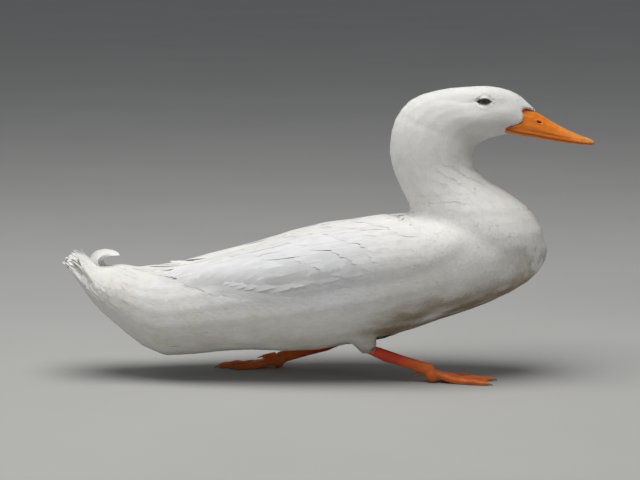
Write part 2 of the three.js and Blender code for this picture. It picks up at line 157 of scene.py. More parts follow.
def mesh_points(mesh):
    co = np.zeros(len(mesh.vertices) * 3, np.float32)
    mesh.vertices.foreach_get("co", co)
    return co.reshape(-1, 3).astype(float)


def cad_mesh(name):
    """The points, in millimetres, and faces of a CAD node, welded."""
    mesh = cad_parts[name].data
    points = mesh_points(mesh) / MM
    points, place = np.unique(np.round(points, 4), axis=0, return_inverse=True)
    faces = np.array([place.ravel()[list(p.vertices)] for p in mesh.polygons])
    return points, faces


def point_normals(points, faces):
    p = points[faces]
    across = np.cross(p[:, 1] - p[:, 0], p[:, 2] - p[:, 0])
    total = np.zeros_like(points)
    for corner in range(3):
        np.add.at(total, faces[:, corner], across)
    return unit(total)


def swollen(name, by):
    """A CAD node made larger all round by this many millimetres, so that it laps into its neighbours."""
    points, faces = cad_mesh(name)
    return points + point_normals(points, faces) * by, faces


def joined(parts):
    """Several shapes, each given as points and faces, as one."""
    starts = np.cumsum([0] + [len(points) for points, _ in parts])
    faces = [faces + start for (_, faces), start in zip(parts, starts)]
    return np.concatenate([points for points, _ in parts]), np.concatenate(faces)


def tree_of(points, faces):
    """A tree that finds the closest place on a mesh, or where a ray meets it."""
    return BVHTree.FromPolygons(points.tolist(), faces.tolist())


def cad_tree(name):
    return tree_of(*cad_mesh(name))


def remeshed(points, faces, voxel):
    """The outside of closed shapes as one even mesh."""
    mesh = bpy.data.meshes.new("raw")
    mesh.from_pydata(points.tolist(), [], faces.tolist())
    ob = bpy.data.objects.new("raw", mesh)
    scene.collection.objects.link(ob)
    even = ob.modifiers.new("even", "REMESH")
    even.mode = "VOXEL"
    even.voxel_size = voxel
    done = bpy.data.meshes.new_from_object(
        ob.evaluated_get(bpy.context.evaluated_depsgraph_get())
    )
    corners = np.zeros(len(done.loops), np.int32)
    done.loops.foreach_get("vertex_index", corners)
    bpy.data.objects.remove(ob)
    return Surface(mesh_points(done), corners.reshape(-1, 4))


def make_piece(name, points, corners, starts, material, replaced=()):
    """A mesh object from arrays, riding on the body."""
    mesh = bpy.data.meshes.new(name)
    mesh.vertices.add(len(points))
    mesh.vertices.foreach_set("co", (points * MM).astype(np.float32).ravel())
    mesh.loops.add(len(corners))
    mesh.loops.foreach_set("vertex_index", corners.astype(np.int32))
    mesh.polygons.add(len(starts))
    mesh.polygons.foreach_set("loop_start", starts.astype(np.int32))
    mesh.update(calc_edges=True)
    mesh.polygons.foreach_set("use_smooth", np.ones(len(starts), bool))
    mesh.materials.append(material)
    ob = bpy.data.objects.new(name, mesh)
    scene.collection.objects.link(ob)
    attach(ob, "root")
    if replaced:
        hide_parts(*replaced)
    return ob


def set_tint(ob, colours):
    layer = ob.data.color_attributes.new("tint", "FLOAT_COLOR", "POINT")
    four = np.ones((len(colours), 4), np.float32)
    four[:, :3] = colours
    layer.data.foreach_set("color", four.ravel())


def set_map(ob, name, spots):
    ob.data.uv_layers.new(name=name).data.foreach_set("uv", spots.astype(np.float32).ravel())


def quad_piece(name, surface, material, replaced=()):
    corners = surface.faces.ravel()
    starts = np.arange(len(surface.faces)) * 4
    return make_piece(name, surface.points, corners, starts, material, replaced)


# ---------- materials


class Shader:
    """A material's nodes, added one by one. A link is given as (node, output)."""

    def __init__(self, name):
        self.material = bpy.data.materials.new(name)
        self.material.use_nodes = True
        self.tree = self.material.node_tree
        self.tree.nodes.clear()
        out = self.tree.nodes.new("ShaderNodeOutputMaterial")
        self.surface = self.tree.nodes.new("ShaderNodeBsdfPrincipled")
        self.tree.links.new(self.surface.outputs[0], out.inputs["Surface"])

    def put(self, node, socket, value):
        if isinstance(value, tuple) and isinstance(value[0], bpy.types.Node):
            self.tree.links.new(value[0].outputs[value[1]], node.inputs[socket])
        else:
            node.inputs[socket].default_value = value

    def add(self, kind, settings=None, **sockets):
        node = self.tree.nodes.new("ShaderNode" + kind)
        for key, value in (settings or {}).items():
            setattr(node, key, value)
        for key, value in sockets.items():
            self.put(node, key.replace("_", " "), value)
        return node

    def math(self, operation, a, b=0.0, c=0.0):
        node = self.add("Math", {"operation": operation})
        for place, value in enumerate((a, b, c)):
            self.put(node, place, value)
        return (node, 0)

    def shades(self, factor, *stops):
        """A colour ramp over (place, colour) stops."""
        node = self.add("ValToRGB", Fac=factor)
        ramp_stops = node.color_ramp.elements
        while len(ramp_stops) < len(stops):
            ramp_stops.new(0.5)
        for stop, (place, colour) in zip(ramp_stops, stops):
            stop.position = place
            stop.color = (*colour, 1)
        return (node, "Color")

    def mix(self, factor, a, b, blend="MIX"):
        node = self.add("Mix", {"data_type": "RGBA", "blend_type": blend})
        for place, value in ((0, factor), (6, a), (7, b)):
            self.put(node, place, value)
        return (node, 2)

    def noise(self, scale, detail):
        place = (self.add("TexCoord"), "Object")
        return (self.add("TexNoise", Vector=place, Scale=scale, Detail=detail), 0)

    def finish(self, **sockets):
        for key, value in sockets.items():
            self.put(self.surface, key.replace("_", " "), value)
        return self.material

    def bump(self, height, strength, distance, normal=None):
        node = self.add("Bump", Height=height, Strength=strength, Distance=distance)
        if normal is not None:
            self.put(node, "Normal", normal)
        return (node, 0)

    def tinted(self, pattern, dark, bright_at=0.7):
        """The piece's own colour, times a pattern that runs from dark up to 1."""
        own = (self.add("VertexColor", {"layer_name": "tint"}), "Color")
        shade = self.shades(pattern, (0.3, dark), (bright_at, (1.0, 1.0, 1.0)))
        return self.mix(1.0, own, shade, "MULTIPLY")


def plumage_material(name, pitch, ridge):
    """White vanes with barbs that slant from the shaft. pitch is the barbs' spacing and ridge the shaft's
    half width, both in millimetres."""
    s = Shader(name)
    split = s.add("SeparateXYZ", Vector=(s.add("UVMap", {"uv_map": "Vane"}), 0))
    across = s.math("ABSOLUTE", (split, 0))
    slant = s.math("SUBTRACT", (split, 1), s.math("MULTIPLY", across, 0.75))
    wander = s.math("MULTIPLY", s.noise(260.0, 2.0), 5.0)
    barbs = s.math("SINE", s.math("ADD", s.math("MULTIPLY", slant, TURN / pitch), wander))
    shaft = s.math("MAXIMUM", s.math("SUBTRACT", 1.0, s.math("DIVIDE", across, ridge)), 0.0)
    height = s.math("ADD", s.math("MULTIPLY", barbs, 0.5), s.math("MULTIPLY", shaft, 2.0))
    fine = s.noise(900.0, 2.0)
    return s.finish(
        Base_Color=s.tinted(s.noise(70.0, 4.0), (0.93, 0.93, 0.93)),
        Roughness=s.math("MULTIPLY_ADD", fine, 0.15, 0.62),
        Normal=s.bump(s.math("ADD", height, fine), 0.26, 0.0001),
        Specular_IOR_Level=0.3, Sheen_Weight=0.12, Sheen_Roughness=0.5,
    )


def skin_material():
    s = Shader("under_coat")
    grain = s.noise(700.0, 3.0)
    return s.finish(
        Base_Color=s.tinted(s.noise(120.0, 3.0), (0.9, 0.9, 0.9)),
        Roughness=s.math("MULTIPLY_ADD", grain, 0.2, 0.6), Normal=s.bump(grain, 0.4, 0.0002),
    )


def bill_material():
    s = Shader("bill_horn")
    fine, broad = s.noise(1500.0, 3.0), s.noise(300.0, 2.0)
    return s.finish(
        Base_Color=s.tinted(s.noise(110.0, 4.0), (0.86, 0.8, 0.75)),
        Roughness=s.math("MULTIPLY_ADD", broad, 0.18, 0.28),
        Normal=s.bump(fine, 0.15, 0.0001, s.bump(broad, 0.2, 0.0003)),
        Subsurface_Weight=0.12, Subsurface_Radius=(0.004, 0.0015, 0.0005), Subsurface_Scale=0.6,
    )


def leg_material():
    s = Shader("leg_scales")
    place = (s.add("TexCoord"), "Object")
    cells = (s.add("TexVoronoi", {"feature": "DISTANCE_TO_EDGE"}, Vector=place, Scale=620.0), 0)
    plates = s.shades(cells, (0.0, (0, 0, 0)), (0.16, (1, 1, 1)))
    seams = s.shades(cells, (0.0, (0.72, 0.58, 0.5)), (0.12, (1, 1, 1)))
    colour = s.tinted(s.noise(140.0, 4.0), (0.84, 0.76, 0.74), 0.72)
    return s.finish(
        Base_Color=s.mix(1.0, colour, seams, "MULTIPLY"),
        Roughness=s.math("MULTIPLY_ADD", s.noise(400.0, 2.0), 0.25, 0.3),
        Normal=s.bump(plates, 0.5, 0.00025, s.bump(s.noise(1800.0, 2.0), 0.15, 0.0001)),
        Subsurface_Weight=0.08, Subsurface_Radius=(0.003, 0.001, 0.0004), Subsurface_Scale=0.6,
    )


def claw_material():
    s = Shader("claw_horn")
    grain = s.noise(900.0, 3.0)
    return s.finish(
        Base_Color=s.tinted(grain, (0.75, 0.7, 0.64)),
        Roughness=s.math("MULTIPLY_ADD", grain, 0.2, 0.2), Normal=s.bump(grain, 0.2, 0.0001),
    )


def eye_material():
    s = Shader("eye_dark")
    return s.finish(
        Base_Color=s.tinted(s.noise(1400.0, 4.0), (0.6, 0.6, 0.6)), Roughness=0.08,
        Specular_IOR_Level=0.6, Coat_Weight=1.0, Coat_Roughness=0.02,
    )


# ---------- the line through the body

SPINE = even_line(
    [
        (236, 0, 281), (200, 0, 288), (165, 0, 292), (130, 0, 284), (112, 0, 262), (112, 0, 240),
        (121, 0, 218), (139, 0, 196), (158, 0, 170), (162, 0, 142), (140, 0, 118), (90, 0, 106),
        (20, 0, 99), (-60, 0, 91), (-140, 0, 82), (-200, 0, 90), (-250, 0, 112), (-300, 0, 132),
    ],
    110,
)
SPINE_RUN = run_along(SPINE)
SPINE_WAY = unit(np.gradient(SPINE, axis=0))
SPINE_SPREAD = 9


def spine_place(points):
    """How far along the spine each point is, the spine's direction there, and the angle round it."""
    squared = (points**2).sum(1)[:, None] + (SPINE**2).sum(1)[None] - 2 * points @ SPINE.T
    apart = np.sqrt(np.maximum(squared, 0))
    weight = np.exp(-(apart - apart.min(1, keepdims=True)) / SPINE_SPREAD)
    weight /= weight.sum(1, keepdims=True)
    way = unit(weight @ SPINE_WAY)
    off = points - weight @ SPINE
    dorsal = np.stack([way[:, 2], np.zeros(len(way)), -way[:, 0]], 1)
    return weight @ SPINE_RUN, way, np.arctan2(off[:, 1], (off * dorsal).sum(1))


# how the feathers change along the spine: length, width, spacing and the coat's depth, in millimetres
COAT_RUN = (0, 40, 100, 160, 220, 280, 360, 500, 620, 720)
COAT_LENGTH = (3.2, 4.6, 6.4, 8.5, 11.5, 15, 18, 21, 23, 25)
COAT_WIDTH = (1.7, 2.1, 2.7, 3.2, 3.8, 4.6, 5.4, 5.8, 6.4, 6.8)
COAT_SPACING = (0.9, 1.03, 1.18, 1.38, 1.6, 1.85, 2.05, 2.15, 2.25, 2.3)
COAT_DEPTH = (0.7, 0.8, 1.1, 1.6, 2.3, 3.0, 3.4, 3.5, 3.6, 3.8)
LEG_DEPTH = 1.5
LEG_SPACING = 1.35


def along_coat(run, column):
    return np.interp(run, COAT_RUN, column)


# ---------- colours

WHITE = np.array([0.83, 0.825, 0.805])
CREAM = np.array([0.8, 0.73, 0.58])
STAIN = np.array([0.2, 0.135, 0.065])
# painted shade for the underside, the lower sides and the cheeks
PAINTED_SHADE_OLIVE = np.array([0.5, 0.47, 0.36])
# a cool painted shade for the folded wings
PAINTED_COOL_SHADE = np.array([0.72, 0.75, 0.82])
# the height of the dark belly's edge along the body
BELLY_X, BELLY_Z = (-60, 12, 52, 89, 155, 199, 240), (38, 50, 74, 97, 119, 131, 138)


def blended(colour, other, amount):
    amount = np.clip(amount, 0, 1)[:, None]
    return colour * (1 - amount) + np.array(other) * amount


def markings(points):
    """The plumage's colour at each point, the same on skin and coat, with painted shade on the underside,
    the lower sides, the cheeks and the folded wings.
    """
    x, y, z = points[:, 0], np.abs(points[:, 1]), points[:, 2]
    streak = noise(points, np.array([26, 7, 7]), 1)
    blotch = noise(points, np.array([17, 13, 13]), 2)
    fleck = noise(points, 5, 3)
    colour = WHITE * (1 + 0.02 * streak + 0.012 * fleck)[:, None]

    flank = ramp(x, 40, -60) * ramp(z, 128, 100) * ramp(z, 30, 60)
    colour = blended(colour, CREAM, 0.28 * flank * np.clip(0.55 + 0.9 * blotch + 0.3 * streak, 0, 1))
    breast = ramp(x, 165, 222) * ramp(z, 182, 128) * ramp(z, 78, 105)
    colour = blended(colour, CREAM * 0.62, 0.95 * breast * np.clip(0.5 + blotch + 0.7 * fleck, 0, 1))
    neck = ramp(z, 135, 195) * ramp(z, 240, 205)
    colour = blended(colour, CREAM, 0.14 * neck * np.clip(0.5 + blotch, 0, 1))
    # painted shade: an olive wash on the underside, and below it one on the lower sides
    under = ramp(z, 78, 44) * ramp(x, 110, 40) * ramp(x, -230, -120)
    colour = blended(colour, PAINTED_SHADE_OLIVE, 0.56 * under * np.clip(0.7 + 0.4 * streak + 0.4 * blotch, 0, 1))
    belly_line = np.interp(x, BELLY_X, BELLY_Z)
    side = ramp(z, belly_line + 48, belly_line - 6) * ramp(x, -20, 60) * ramp(x, 215, 185)
    colour = blended(colour, PAINTED_SHADE_OLIVE, 0.4 * side * np.clip(0.8 + 0.5 * streak + 0.4 * blotch, 0, 1))
    # painted shade on the cheeks
    cheek = ramp(x, 128, 145) * ramp(x, 212, 190) * ramp(z, 240, 256) * ramp(z, 292, 274)
    colour = blended(colour, PAINTED_SHADE_OLIVE, 0.32 * cheek * np.clip(0.8 + 0.5 * blotch, 0, 1))
    belly = ramp(z, belly_line + 4, belly_line - 26) ** 0.8 * ramp(x, -30, 60)
    colour = blended(colour, STAIN, 0.93 * belly * np.clip(0.9 + 0.45 * streak + 0.35 * blotch, 0, 1))
    # a cool painted shade over the folded wings
    wing = ramp(x, 90, 20) * ramp(x, -215, -150) * ramp(y, 28, 46) * ramp(z, 84, 98)
    return blended(colour, PAINTED_COOL_SHADE, 0.3 * wing)


# ---------- the skin

FLESH = ("trunk", "neck", "head", "wing_left", "wing_right", "tail", "thigh_left", "thigh_right")
SKIN_VOXEL = 2.2
OVERLAP = 0.7  # what each node swells by, so that the cuts between them close
TAIL_ROOT = -222
TAIL_END = -287  # where the tail's coverts end
TAIL_STUMP = 0.92  # what is left of the tail's length under its long feathers
# where the cuts between the nodes are evened out: the place on the left side, how far, and how much
CREASES = (
    ((90, 0, 180), 17, 0.4), ((112, 30, 168), 20, 1.0), ((128, 42, 158), 22, 1.0),
    ((146, 52, 146), 22, 1.0), ((150, 56, 128), 18, 1.0),
)
CREASE_SQUASH = 0.45  # the one in the middle is this much nearer from side to side
CREASE_ROUNDS = 60


def box_of(name):
    """The lowest and the highest corner of a CAD node's box, in millimetres."""
    return [np.array(corner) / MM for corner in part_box(name)]


def eye_frame(side):
    """The eye's middle and radius, and its outward, forward and upward directions."""
    low, high = box_of(f"eye_{side}")
    outward = unit(np.array([0.04, SIDES[side], 0.17]))
    forward = flat(AHEAD, outward)
    up = np.cross(outward, forward) * -SIDES[side]
    return (low + high) / 2, (high - low)[2] / 2, outward, forward, up


def round_eye(side, points):
    """How far ahead of the eye's middle each point is, how far above it, and how far out from it."""
    centre, _, outward, forward, up = eye_frame(side)
    off = points - centre
    return off @ forward, off @ up, off @ outward


bill_trees = [cad_tree(name) for name in ("bill_upper", "bill_lower")]
BILL_REACH = 60


def from_bill(points, run):
    """How far each point is from the bill, as far as BILL_REACH along the head."""
    far = np.full(len(points), FAR)
    for i in np.nonzero(run < BILL_REACH)[0]:
        place = points[i].tolist()
        far[i] = min(tree.find_nearest(place)[3] for tree in bill_trees)
    return far


SHANK_END = 5  # how much of the shank's length counts as its end


def shank_end(side, way):
    """The middle of the shank's upper end, or with way -1 of its lower end."""
    points, _ = cad_mesh(f"shank_{side}")
    height = points[:, 2] * way
    return points[height > height.max() - SHANK_END].mean(0)


hocks = {side: shank_end(side, 1) for side in SIDES}


def on_leg(points):
    """1 on the feathered legs below the body, 0 elsewhere."""
    found = np.zeros(len(points))
    for hock in hocks.values():
        apart = np.linalg.norm((points - hock) * [1, 1, 0], axis=1)
        found = np.maximum(found, ramp(points[:, 2], 76, 52) * ramp(apart, 38, 22))
    return found


def coat_depth(points):
    run, _, _ = spine_place(points)
    depth = along_coat(run, COAT_DEPTH) * (0.3 + 0.7 * ramp(from_bill(points, run), 0, 9))
    return depth * (1 - on_leg(points)) + LEG_DEPTH * on_leg(points)


EYE_SWELL = 0.1  # how far the face stands out over the eye's ball
SWELL_SOFT = 0.5  # how softly it rises there


def evened_creases(skin):
    creased = np.zeros((len(skin.points), 1))
    for place, spread, strength in CREASES:
        squash = [1, CREASE_SQUASH if place[1] == 0 else 1, 1]
        apart = [
            np.linalg.norm((skin.points * [1, sign, 1] - place) * squash, axis=1)
            for sign in SIDES.values()
        ]
        creased = np.maximum(creased, strength * bell(np.minimum(*apart), 0, spread)[:, None])
    for _ in range(CREASE_ROUNDS):
        skin.points = skin.points + 0.5 * creased * (skin.around(skin.points) - skin.points)


def build_skin():
    """The nodes of flesh as one surface, sunk by the coat's depth, with the soft forms of the face."""
    parts = [swollen(name, OVERLAP) for name in FLESH]
    tail_x = parts[FLESH.index("tail")][0][:, 0]
    tail_x += np.minimum(tail_x - TAIL_ROOT, 0) * (TAIL_STUMP - 1)
    skin = remeshed(*joined(parts), SKIN_VOXEL)
    skin.smooth(14)
    depth = coat_depth(skin.points)
    skin.points = skin.points - skin.normals() * (depth + OVERLAP)[:, None]
    skin.smooth(4)
    evened_creases(skin)
    normal = skin.normals()
    for side, sign in SIDES.items():
        centre, radius, outward, _, _ = eye_frame(side)
        x, y, z = (skin.points - centre).T
        brow = 1.6 * bell(x, -1, 14) * bell(z, 8, 5)
        streak = -1.0 * ramp(x, -6, -14) * ramp(x, -62, -30) * bell(z, 1.5, 3.4)
        cheek = 1.8 * bell(x, -12, 16) * bell(z, -18, 9)
        lore = -1.0 * bell(x, 20, 9) * bell(z, -3, 5)
        near = ramp(y * sign, -14, -8)
        skin.points = skin.points + normal * (near * (brow + streak + cheek + lore))[:, None]
        ahead, above, level = round_eye(side, skin.points)
        beside = np.hypot(ahead, above)
        ball = np.minimum(radius + EYE_SWELL - beside**2 / (2 * radius), 12)
        swell = np.logaddexp(level / SWELL_SOFT, ball / SWELL_SOFT) * SWELL_SOFT - level
        skin.points = skin.points + np.outer(swell * (level > 0) * ramp(beside, 15, 11), outward)
    return skin


skin = build_skin()

# the opening between the lids, in millimetres
OPENING = (6.4, 2.35)
OPENING_BACK = 1.6  # how far it lies behind the ball's middle
# rows of a lid from under the coat to behind its edge: how far outside the opening, how much it follows
# the face and not the ball, and its height over them
LID_ROWS = (
    (7.4, 1.0, -0.5), (6.4, 1.0, 0.05), (5.4, 1.0, 0.1), (4.4, 0.95, 0.15), (3.4, 0.82, 0.2),
    (2.4, 0.6, 0.3), (1.5, 0.35, 0.4), (0.75, 0.1, 0.55), (0.2, 0.0, 0.55), (-0.1, 0.0, 0.3),
    (0.0, 0.0, -1.0),
)
LID_STEPS = 56
LID_THICK = 0.4
LID_FROM = 25  # how far out the face is looked for
LID_POINTED = 1.35  # how pointed the opening's corners are


def opening(turn, wider):
    """The opening's outline, this much wider, as places ahead of and above the eye's middle."""
    a, b = OPENING[0] + wider, OPENING[1] + wider
    up = np.sign(np.sin(turn)) * np.abs(np.sin(turn)) ** LID_POINTED
    return a * np.cos(turn) - OPENING_BACK, b * up


def outside_opening(ahead, up):
    """How far outside the opening a place is, in millimetres, roughly. Inside it is below 0."""
    ahead = ahead + OPENING_BACK
    reach = np.hypot(ahead / OPENING[0], up / OPENING[1])
    return (reach - 1) * np.hypot(ahead, up) / np.maximum(reach, 1e-6)


def from_eye(points):
    """How far outside the nearer eye's opening each point is."""
    far = np.full(len(points), FAR)
    for side in SIDES:
        ahead, above, level = round_eye(side, points)
        far = np.where(level > -6, np.minimum(far, outside_opening(ahead, above)), far)
    return far


def build_lids(side, tree):
    """The lids' points, row by row, and their faces as a closed ring."""
    centre, radius, outward, forward, up = eye_frame(side)
    turn = np.arange(LID_STEPS) / LID_STEPS * TURN
    rows = []
    for wider, follow_face, raised in LID_ROWS:
        a, b = opening(turn, wider)
        flat_place = centre + np.outer(a, forward) + np.outer(b, up)
        ball = np.sqrt(np.maximum(radius**2 - a**2 - b**2, 4.0))
        starts = flat_place + outward * LID_FROM
        hits = [tree.ray_cast(Vector(start), Vector(-outward))[0] for start in starts]
        face = (np.array([tuple(hit) for hit in hits]) - centre) @ outward
        height = ball * (1 - follow_face) + face * follow_face + raised
        if 0.1 < wider < 6:
            height = np.maximum(height, ball + LID_THICK)
        rows.append(flat_place + np.outer(height, outward))
    count = len(rows)
    ring = np.arange(LID_STEPS)
    ring_on = (ring + 1) % LID_STEPS
    faces = []
    for row in range(count):
        a, b = row * LID_STEPS, (row + 1) % count * LID_STEPS
        quads = np.stack([a + ring, a + ring_on, b + ring_on, b + ring], 1)
        faces.append(quads if SIDES[side] == RIGHT else quads[:, ::-1])
    return np.concatenate(rows), np.concatenate(faces)


# the lids go on the face as it is, and then the face sinks under them
face_tree = tree_of(skin.points, skin.faces)
plain_normal, plain_faces = skin.normals(), skin.faces
near_eye = np.zeros(len(skin.points))
for side in SIDES:
    ahead, above, level = round_eye(side, skin.points)
    out = outside_opening(ahead, above)
    here = (level > -4) & (out < 8)
    sink = ramp(out, 6.1, 5.0) * here * (np.minimum(level, 1.0) - level)
    skin.points = skin.points + np.outer(sink, eye_frame(side)[2])
    near_eye = np.maximum(near_eye, here * ramp(out, 6.6, 6.0))

bare_points = len(skin.points)
lids = [build_lids(side, face_tree) for side in SIDES]
skin = Surface(*joined([(skin.points, skin.faces), *lids]))
edge_rows = ramp(np.repeat([row[0] for row in LID_ROWS], LID_STEPS), 1.6, 0.9)
lid_edge = np.r_[np.zeros(bare_points), edge_rows, edge_rows]
near_eye = np.r_[near_eye, np.zeros(2 * len(edge_rows))]
skin_normal = skin.normals()

# round the lids' outer edge the coat follows the face as it was without them
by_edge = from_eye(skin.points)
by_edge = ramp(by_edge, 3.6, 5.2) * ramp(by_edge, 10, 8)
for index in np.nonzero(by_edge > 0)[0]:
    below = face_tree.find_nearest(skin.points[index].tolist())[2]
    plain = plain_normal[plain_faces[below]].mean(0)
    skin_normal[index] = unit(skin_normal[index] * (1 - by_edge[index]) + plain * by_edge[index])

# the lie of the coat: along the spine, and down each thigh to the hock
flow = flat(spine_place(skin.points)[1], skin_normal)
for side in SIDES:
    knee = sum(box_of(f"thigh_{side}")) / 2
    off = skin.points - hocks[side]
    leg = (ramp(np.hypot(off[:, 0], off[:, 1]), 44, 22) * ramp(skin.points[:, 2], 66, 48))[:, None]
    down = unit((hocks[side] - knee) * [1, 0, 1])
    flow = flow * (1 - leg) + flat(np.tile(down, (len(flow), 1)), skin_normal) * leg
for _ in range(14):
    flow = flat(flow + skin.around(flow), skin_normal)

# the coat parts round each eye
for side in SIDES:
    _, _, _, forward, up = eye_frame(side)
    ahead, above, level = round_eye(side, skin.points)
    near = ramp(outside_opening(ahead, above), 5, 0.5) * (level > -4)
    away = unit(np.outer(ahead + OPENING_BACK, forward) + np.outer(above, up) * 1.6)
    flow = flat(flow + away * (0.55 * near)[:, None], skin_normal)

skin_tree = tree_of(skin.points, skin.faces)
face_normal = unit(skin_normal[skin.faces].mean(1))
face_flow = flat(flow[skin.faces].mean(1), face_normal)
face_middle = skin.points[skin.faces].mean(1)


def nearest(points):
    """The closest place on the skin, with its smooth normal and the coat's lie."""
    found = [skin_tree.find_nearest(p) for p in points.tolist()]
    place = np.array([tuple(f[0]) for f in found])
    face = np.array([f[2] for f in found])
    return place, face_normal[face], face_flow[face]


def painted_eye_shade(points):
    """The faint dark line that runs on from each eye's corners, from 0 to 1: painted shade."""
    found = np.zeros(len(points))
    for side in SIDES:
        a, b, level = round_eye(side, points)
        ahead = ramp(a, 5, 7) * ramp(a, 13, 9) * bell(b + 0.12 * (a - 6), 0, 0.9)
        behind = ramp(a, -5, -7) * ramp(a, -30, -10) * bell(b - 0.02 * a, 0, 1.5)
        found = np.maximum(found, (ahead + 0.6 * behind) * (level > -8))
    return found


LID_COLOUR = np.array([0.06, 0.045, 0.04])
skin_colour = markings(skin.points) * (1 - lid_edge[:, None]) + LID_COLOUR * lid_edge[:, None]
skin_piece = quad_piece("skin", skin, skin_material(), FLESH)
set_tint(skin_piece, skin_colour)


# ---------- vanes


def vane_pattern(rings, across):
    """One closed vane's corners, face by face, which of them lie on its top, each face's size, and the
    edges between top and underside."""
    faces, top, rim = [], [], [(m, m + 1) for m in range(across - 1)] + [(0, across - 1)]

    def face(corners, is_top):
        faces.append(corners)
        top.extend([is_top] * len(corners))

    tip = rings * across
    for k in range(rings):
        a, b = k * across, (k + 1) * across
        last = k == rings - 1
        for m in range(across - 1):
            face([a + m, a + m + 1, tip] if last else [a + m, a + m + 1, b + m + 1, b + m], True)
        right = a + across - 1
        face([right, a, tip] if last else [right, a, b, b + across - 1], False)
        rim += [(a, tip if last else b), (right, tip if last else b + across - 1)]
    face(list(range(across))[::-1], False)
    return np.concatenate(faces), np.array(top), np.array([len(f) for f in faces]), np.array(rim)


class Coat:
    """Many vanes gathered into one mesh."""

    def __init__(self, name, material, replaced=()):
        self.name, self.material, self.replaced = name, material, replaced
        self.points, self.corners, self.sizes, self.normals = [], [], [], []
        self.tints, self.vane_spots, self.bake_spots, self.rims = [], [], [], []
        self.count = 0

    def add(self, centre, tip, normal, wide, colour, spot, across=3, camber=0.12, soft=0.5,
            skin_up=None, roll=None, rim=0.0):
        """centre is each vane's ridge, (vanes, rings, 3), tip its end, normal the way it faces, wide its
        two half widths at each ring, colour one per vane, spot its place on the bake map."""
        vanes, rings = centre.shape[:2]
        full = np.concatenate([centre, tip[:, None]], 1)
        along = unit(np.gradient(full, axis=1)[:, :-1])
        up = flat(normal, along)
        side = np.cross(along, up)
        if roll is not None:
            c, s = np.cos(roll)[..., None], np.sin(roll)[..., None]
            side, up = side * c + up * s, up * c - side * s
        w = np.linspace(-1, 1, across)
        half = np.where(w < 0, wide[..., 0:1], wide[..., 1:2])
        reach = half * w
        drop = camber * half * w**2
        points = centre[:, :, None] + side[:, :, None] * reach[..., None]
        points = points - up[:, :, None] * drop[..., None]
        top = unit(up[:, :, None] + side[:, :, None] * (2 * camber * w)[None, None, :, None])
        if skin_up is not None:
            top = unit(top * (1 - soft) + skin_up[:, :, None] * soft)
        each = rings * across + 1
        points = np.concatenate([points.reshape(vanes, -1, 3), tip[:, None]], 1)
        top = np.concatenate([top.reshape(vanes, -1, 3), top[:, -1, across // 2][:, None]], 1)
        corners, is_top, sizes, seam = vane_pattern(rings, across)
        normals = top[:, corners] * np.where(is_top, 1, -1)[None, :, None]
        travelled = np.concatenate(
            [np.zeros((vanes, 1)), np.cumsum(np.linalg.norm(np.diff(full, axis=1), axis=2), axis=1)], 1
        )
        long = travelled[:, -1:]
        u = np.concatenate([reach.reshape(vanes, -1), np.zeros((vanes, 1))], 1)
        v = np.concatenate([np.repeat(travelled[:, :-1], across, 1), long], 1)
        share_u = np.concatenate([np.tile(w, (vanes, rings)), np.zeros((vanes, 1))], 1)
        patch = np.stack([share_u, v / long * 2 - 1], 2) * BAKE_PATCH / 2 + spot[:, None]
        shift = rng.random((vanes, 1)) * 40
        self.vane_spots.append(np.stack([u, v + shift], 2)[:, corners].reshape(-1, 2))
        self.bake_spots.append(patch[:, corners].reshape(-1, 2))
        self.points.append(points.reshape(-1, 3))
        self.normals.append(normals.reshape(-1, 3))
        # rim lightens a vane's edges and tip and darkens its middle: a painted highlight on the edges and
        # painted shade down the middle
        shade = np.concatenate([np.tile(1 - rim + 2 * rim * w**2, rings), [1 + rim]])
        self.tints.append((colour[:, None] * shade[None, :, None]).reshape(-1, 3))
        offsets = self.count + np.arange(vanes)[:, None] * each
        self.corners.append((corners[None] + offsets).ravel())
        self.rims.append((seam[None] + offsets[:, :, None]).reshape(-1, 2))
        self.sizes.append(np.tile(sizes, vanes))
        self.count += vanes * each

    def build(self):
        sizes = np.concatenate(self.sizes)
        starts = np.r_[0, np.cumsum(sizes)[:-1]]
        ob = make_piece(
            self.name, np.concatenate(self.points), np.concatenate(self.corners), starts,
            self.material, self.replaced,
        )
        set_tint(ob, np.concatenate(self.tints))
        set_map(ob, "OFBake", np.concatenate(self.bake_spots))
        set_map(ob, "Vane", np.concatenate(self.vane_spots))
        edges = np.zeros(len(ob.data.edges) * 2, np.int32)
        ob.data.edges.foreach_get("vertices", edges)
        pairs = (edges.reshape(-1, 2), np.concatenate(self.rims))
        keys = [np.sort(pair, 1) @ [self.count, 1] for pair in pairs]
        sharp = ob.data.attributes.new("sharp_edge", "BOOLEAN", "EDGE")
        sharp.data.foreach_set("value", np.isin(*keys))
        layer = ob.data.attributes.new("custom_normal", "FLOAT_VECTOR", "CORNER")
        layer.data.foreach_set("vector", np.concatenate(self.normals).astype(np.float32).ravel())


BAKE_PATCH = 0.003
BAKE_EDGE = 0.01


def bake_spot(points):
    """A place on the unwrap of the skin: along the spine, and round it."""
    run, _, turn = spine_place(points)
    spots = np.stack([run / SPINE_RUN[-1], turn / TURN + 0.5], 1)
    return BAKE_EDGE + (1 - 2 * BAKE_EDGE) * spots


STEPS = 4
HOLD = 0.7  # how much a feather keeps its own heading and not the coat's lie


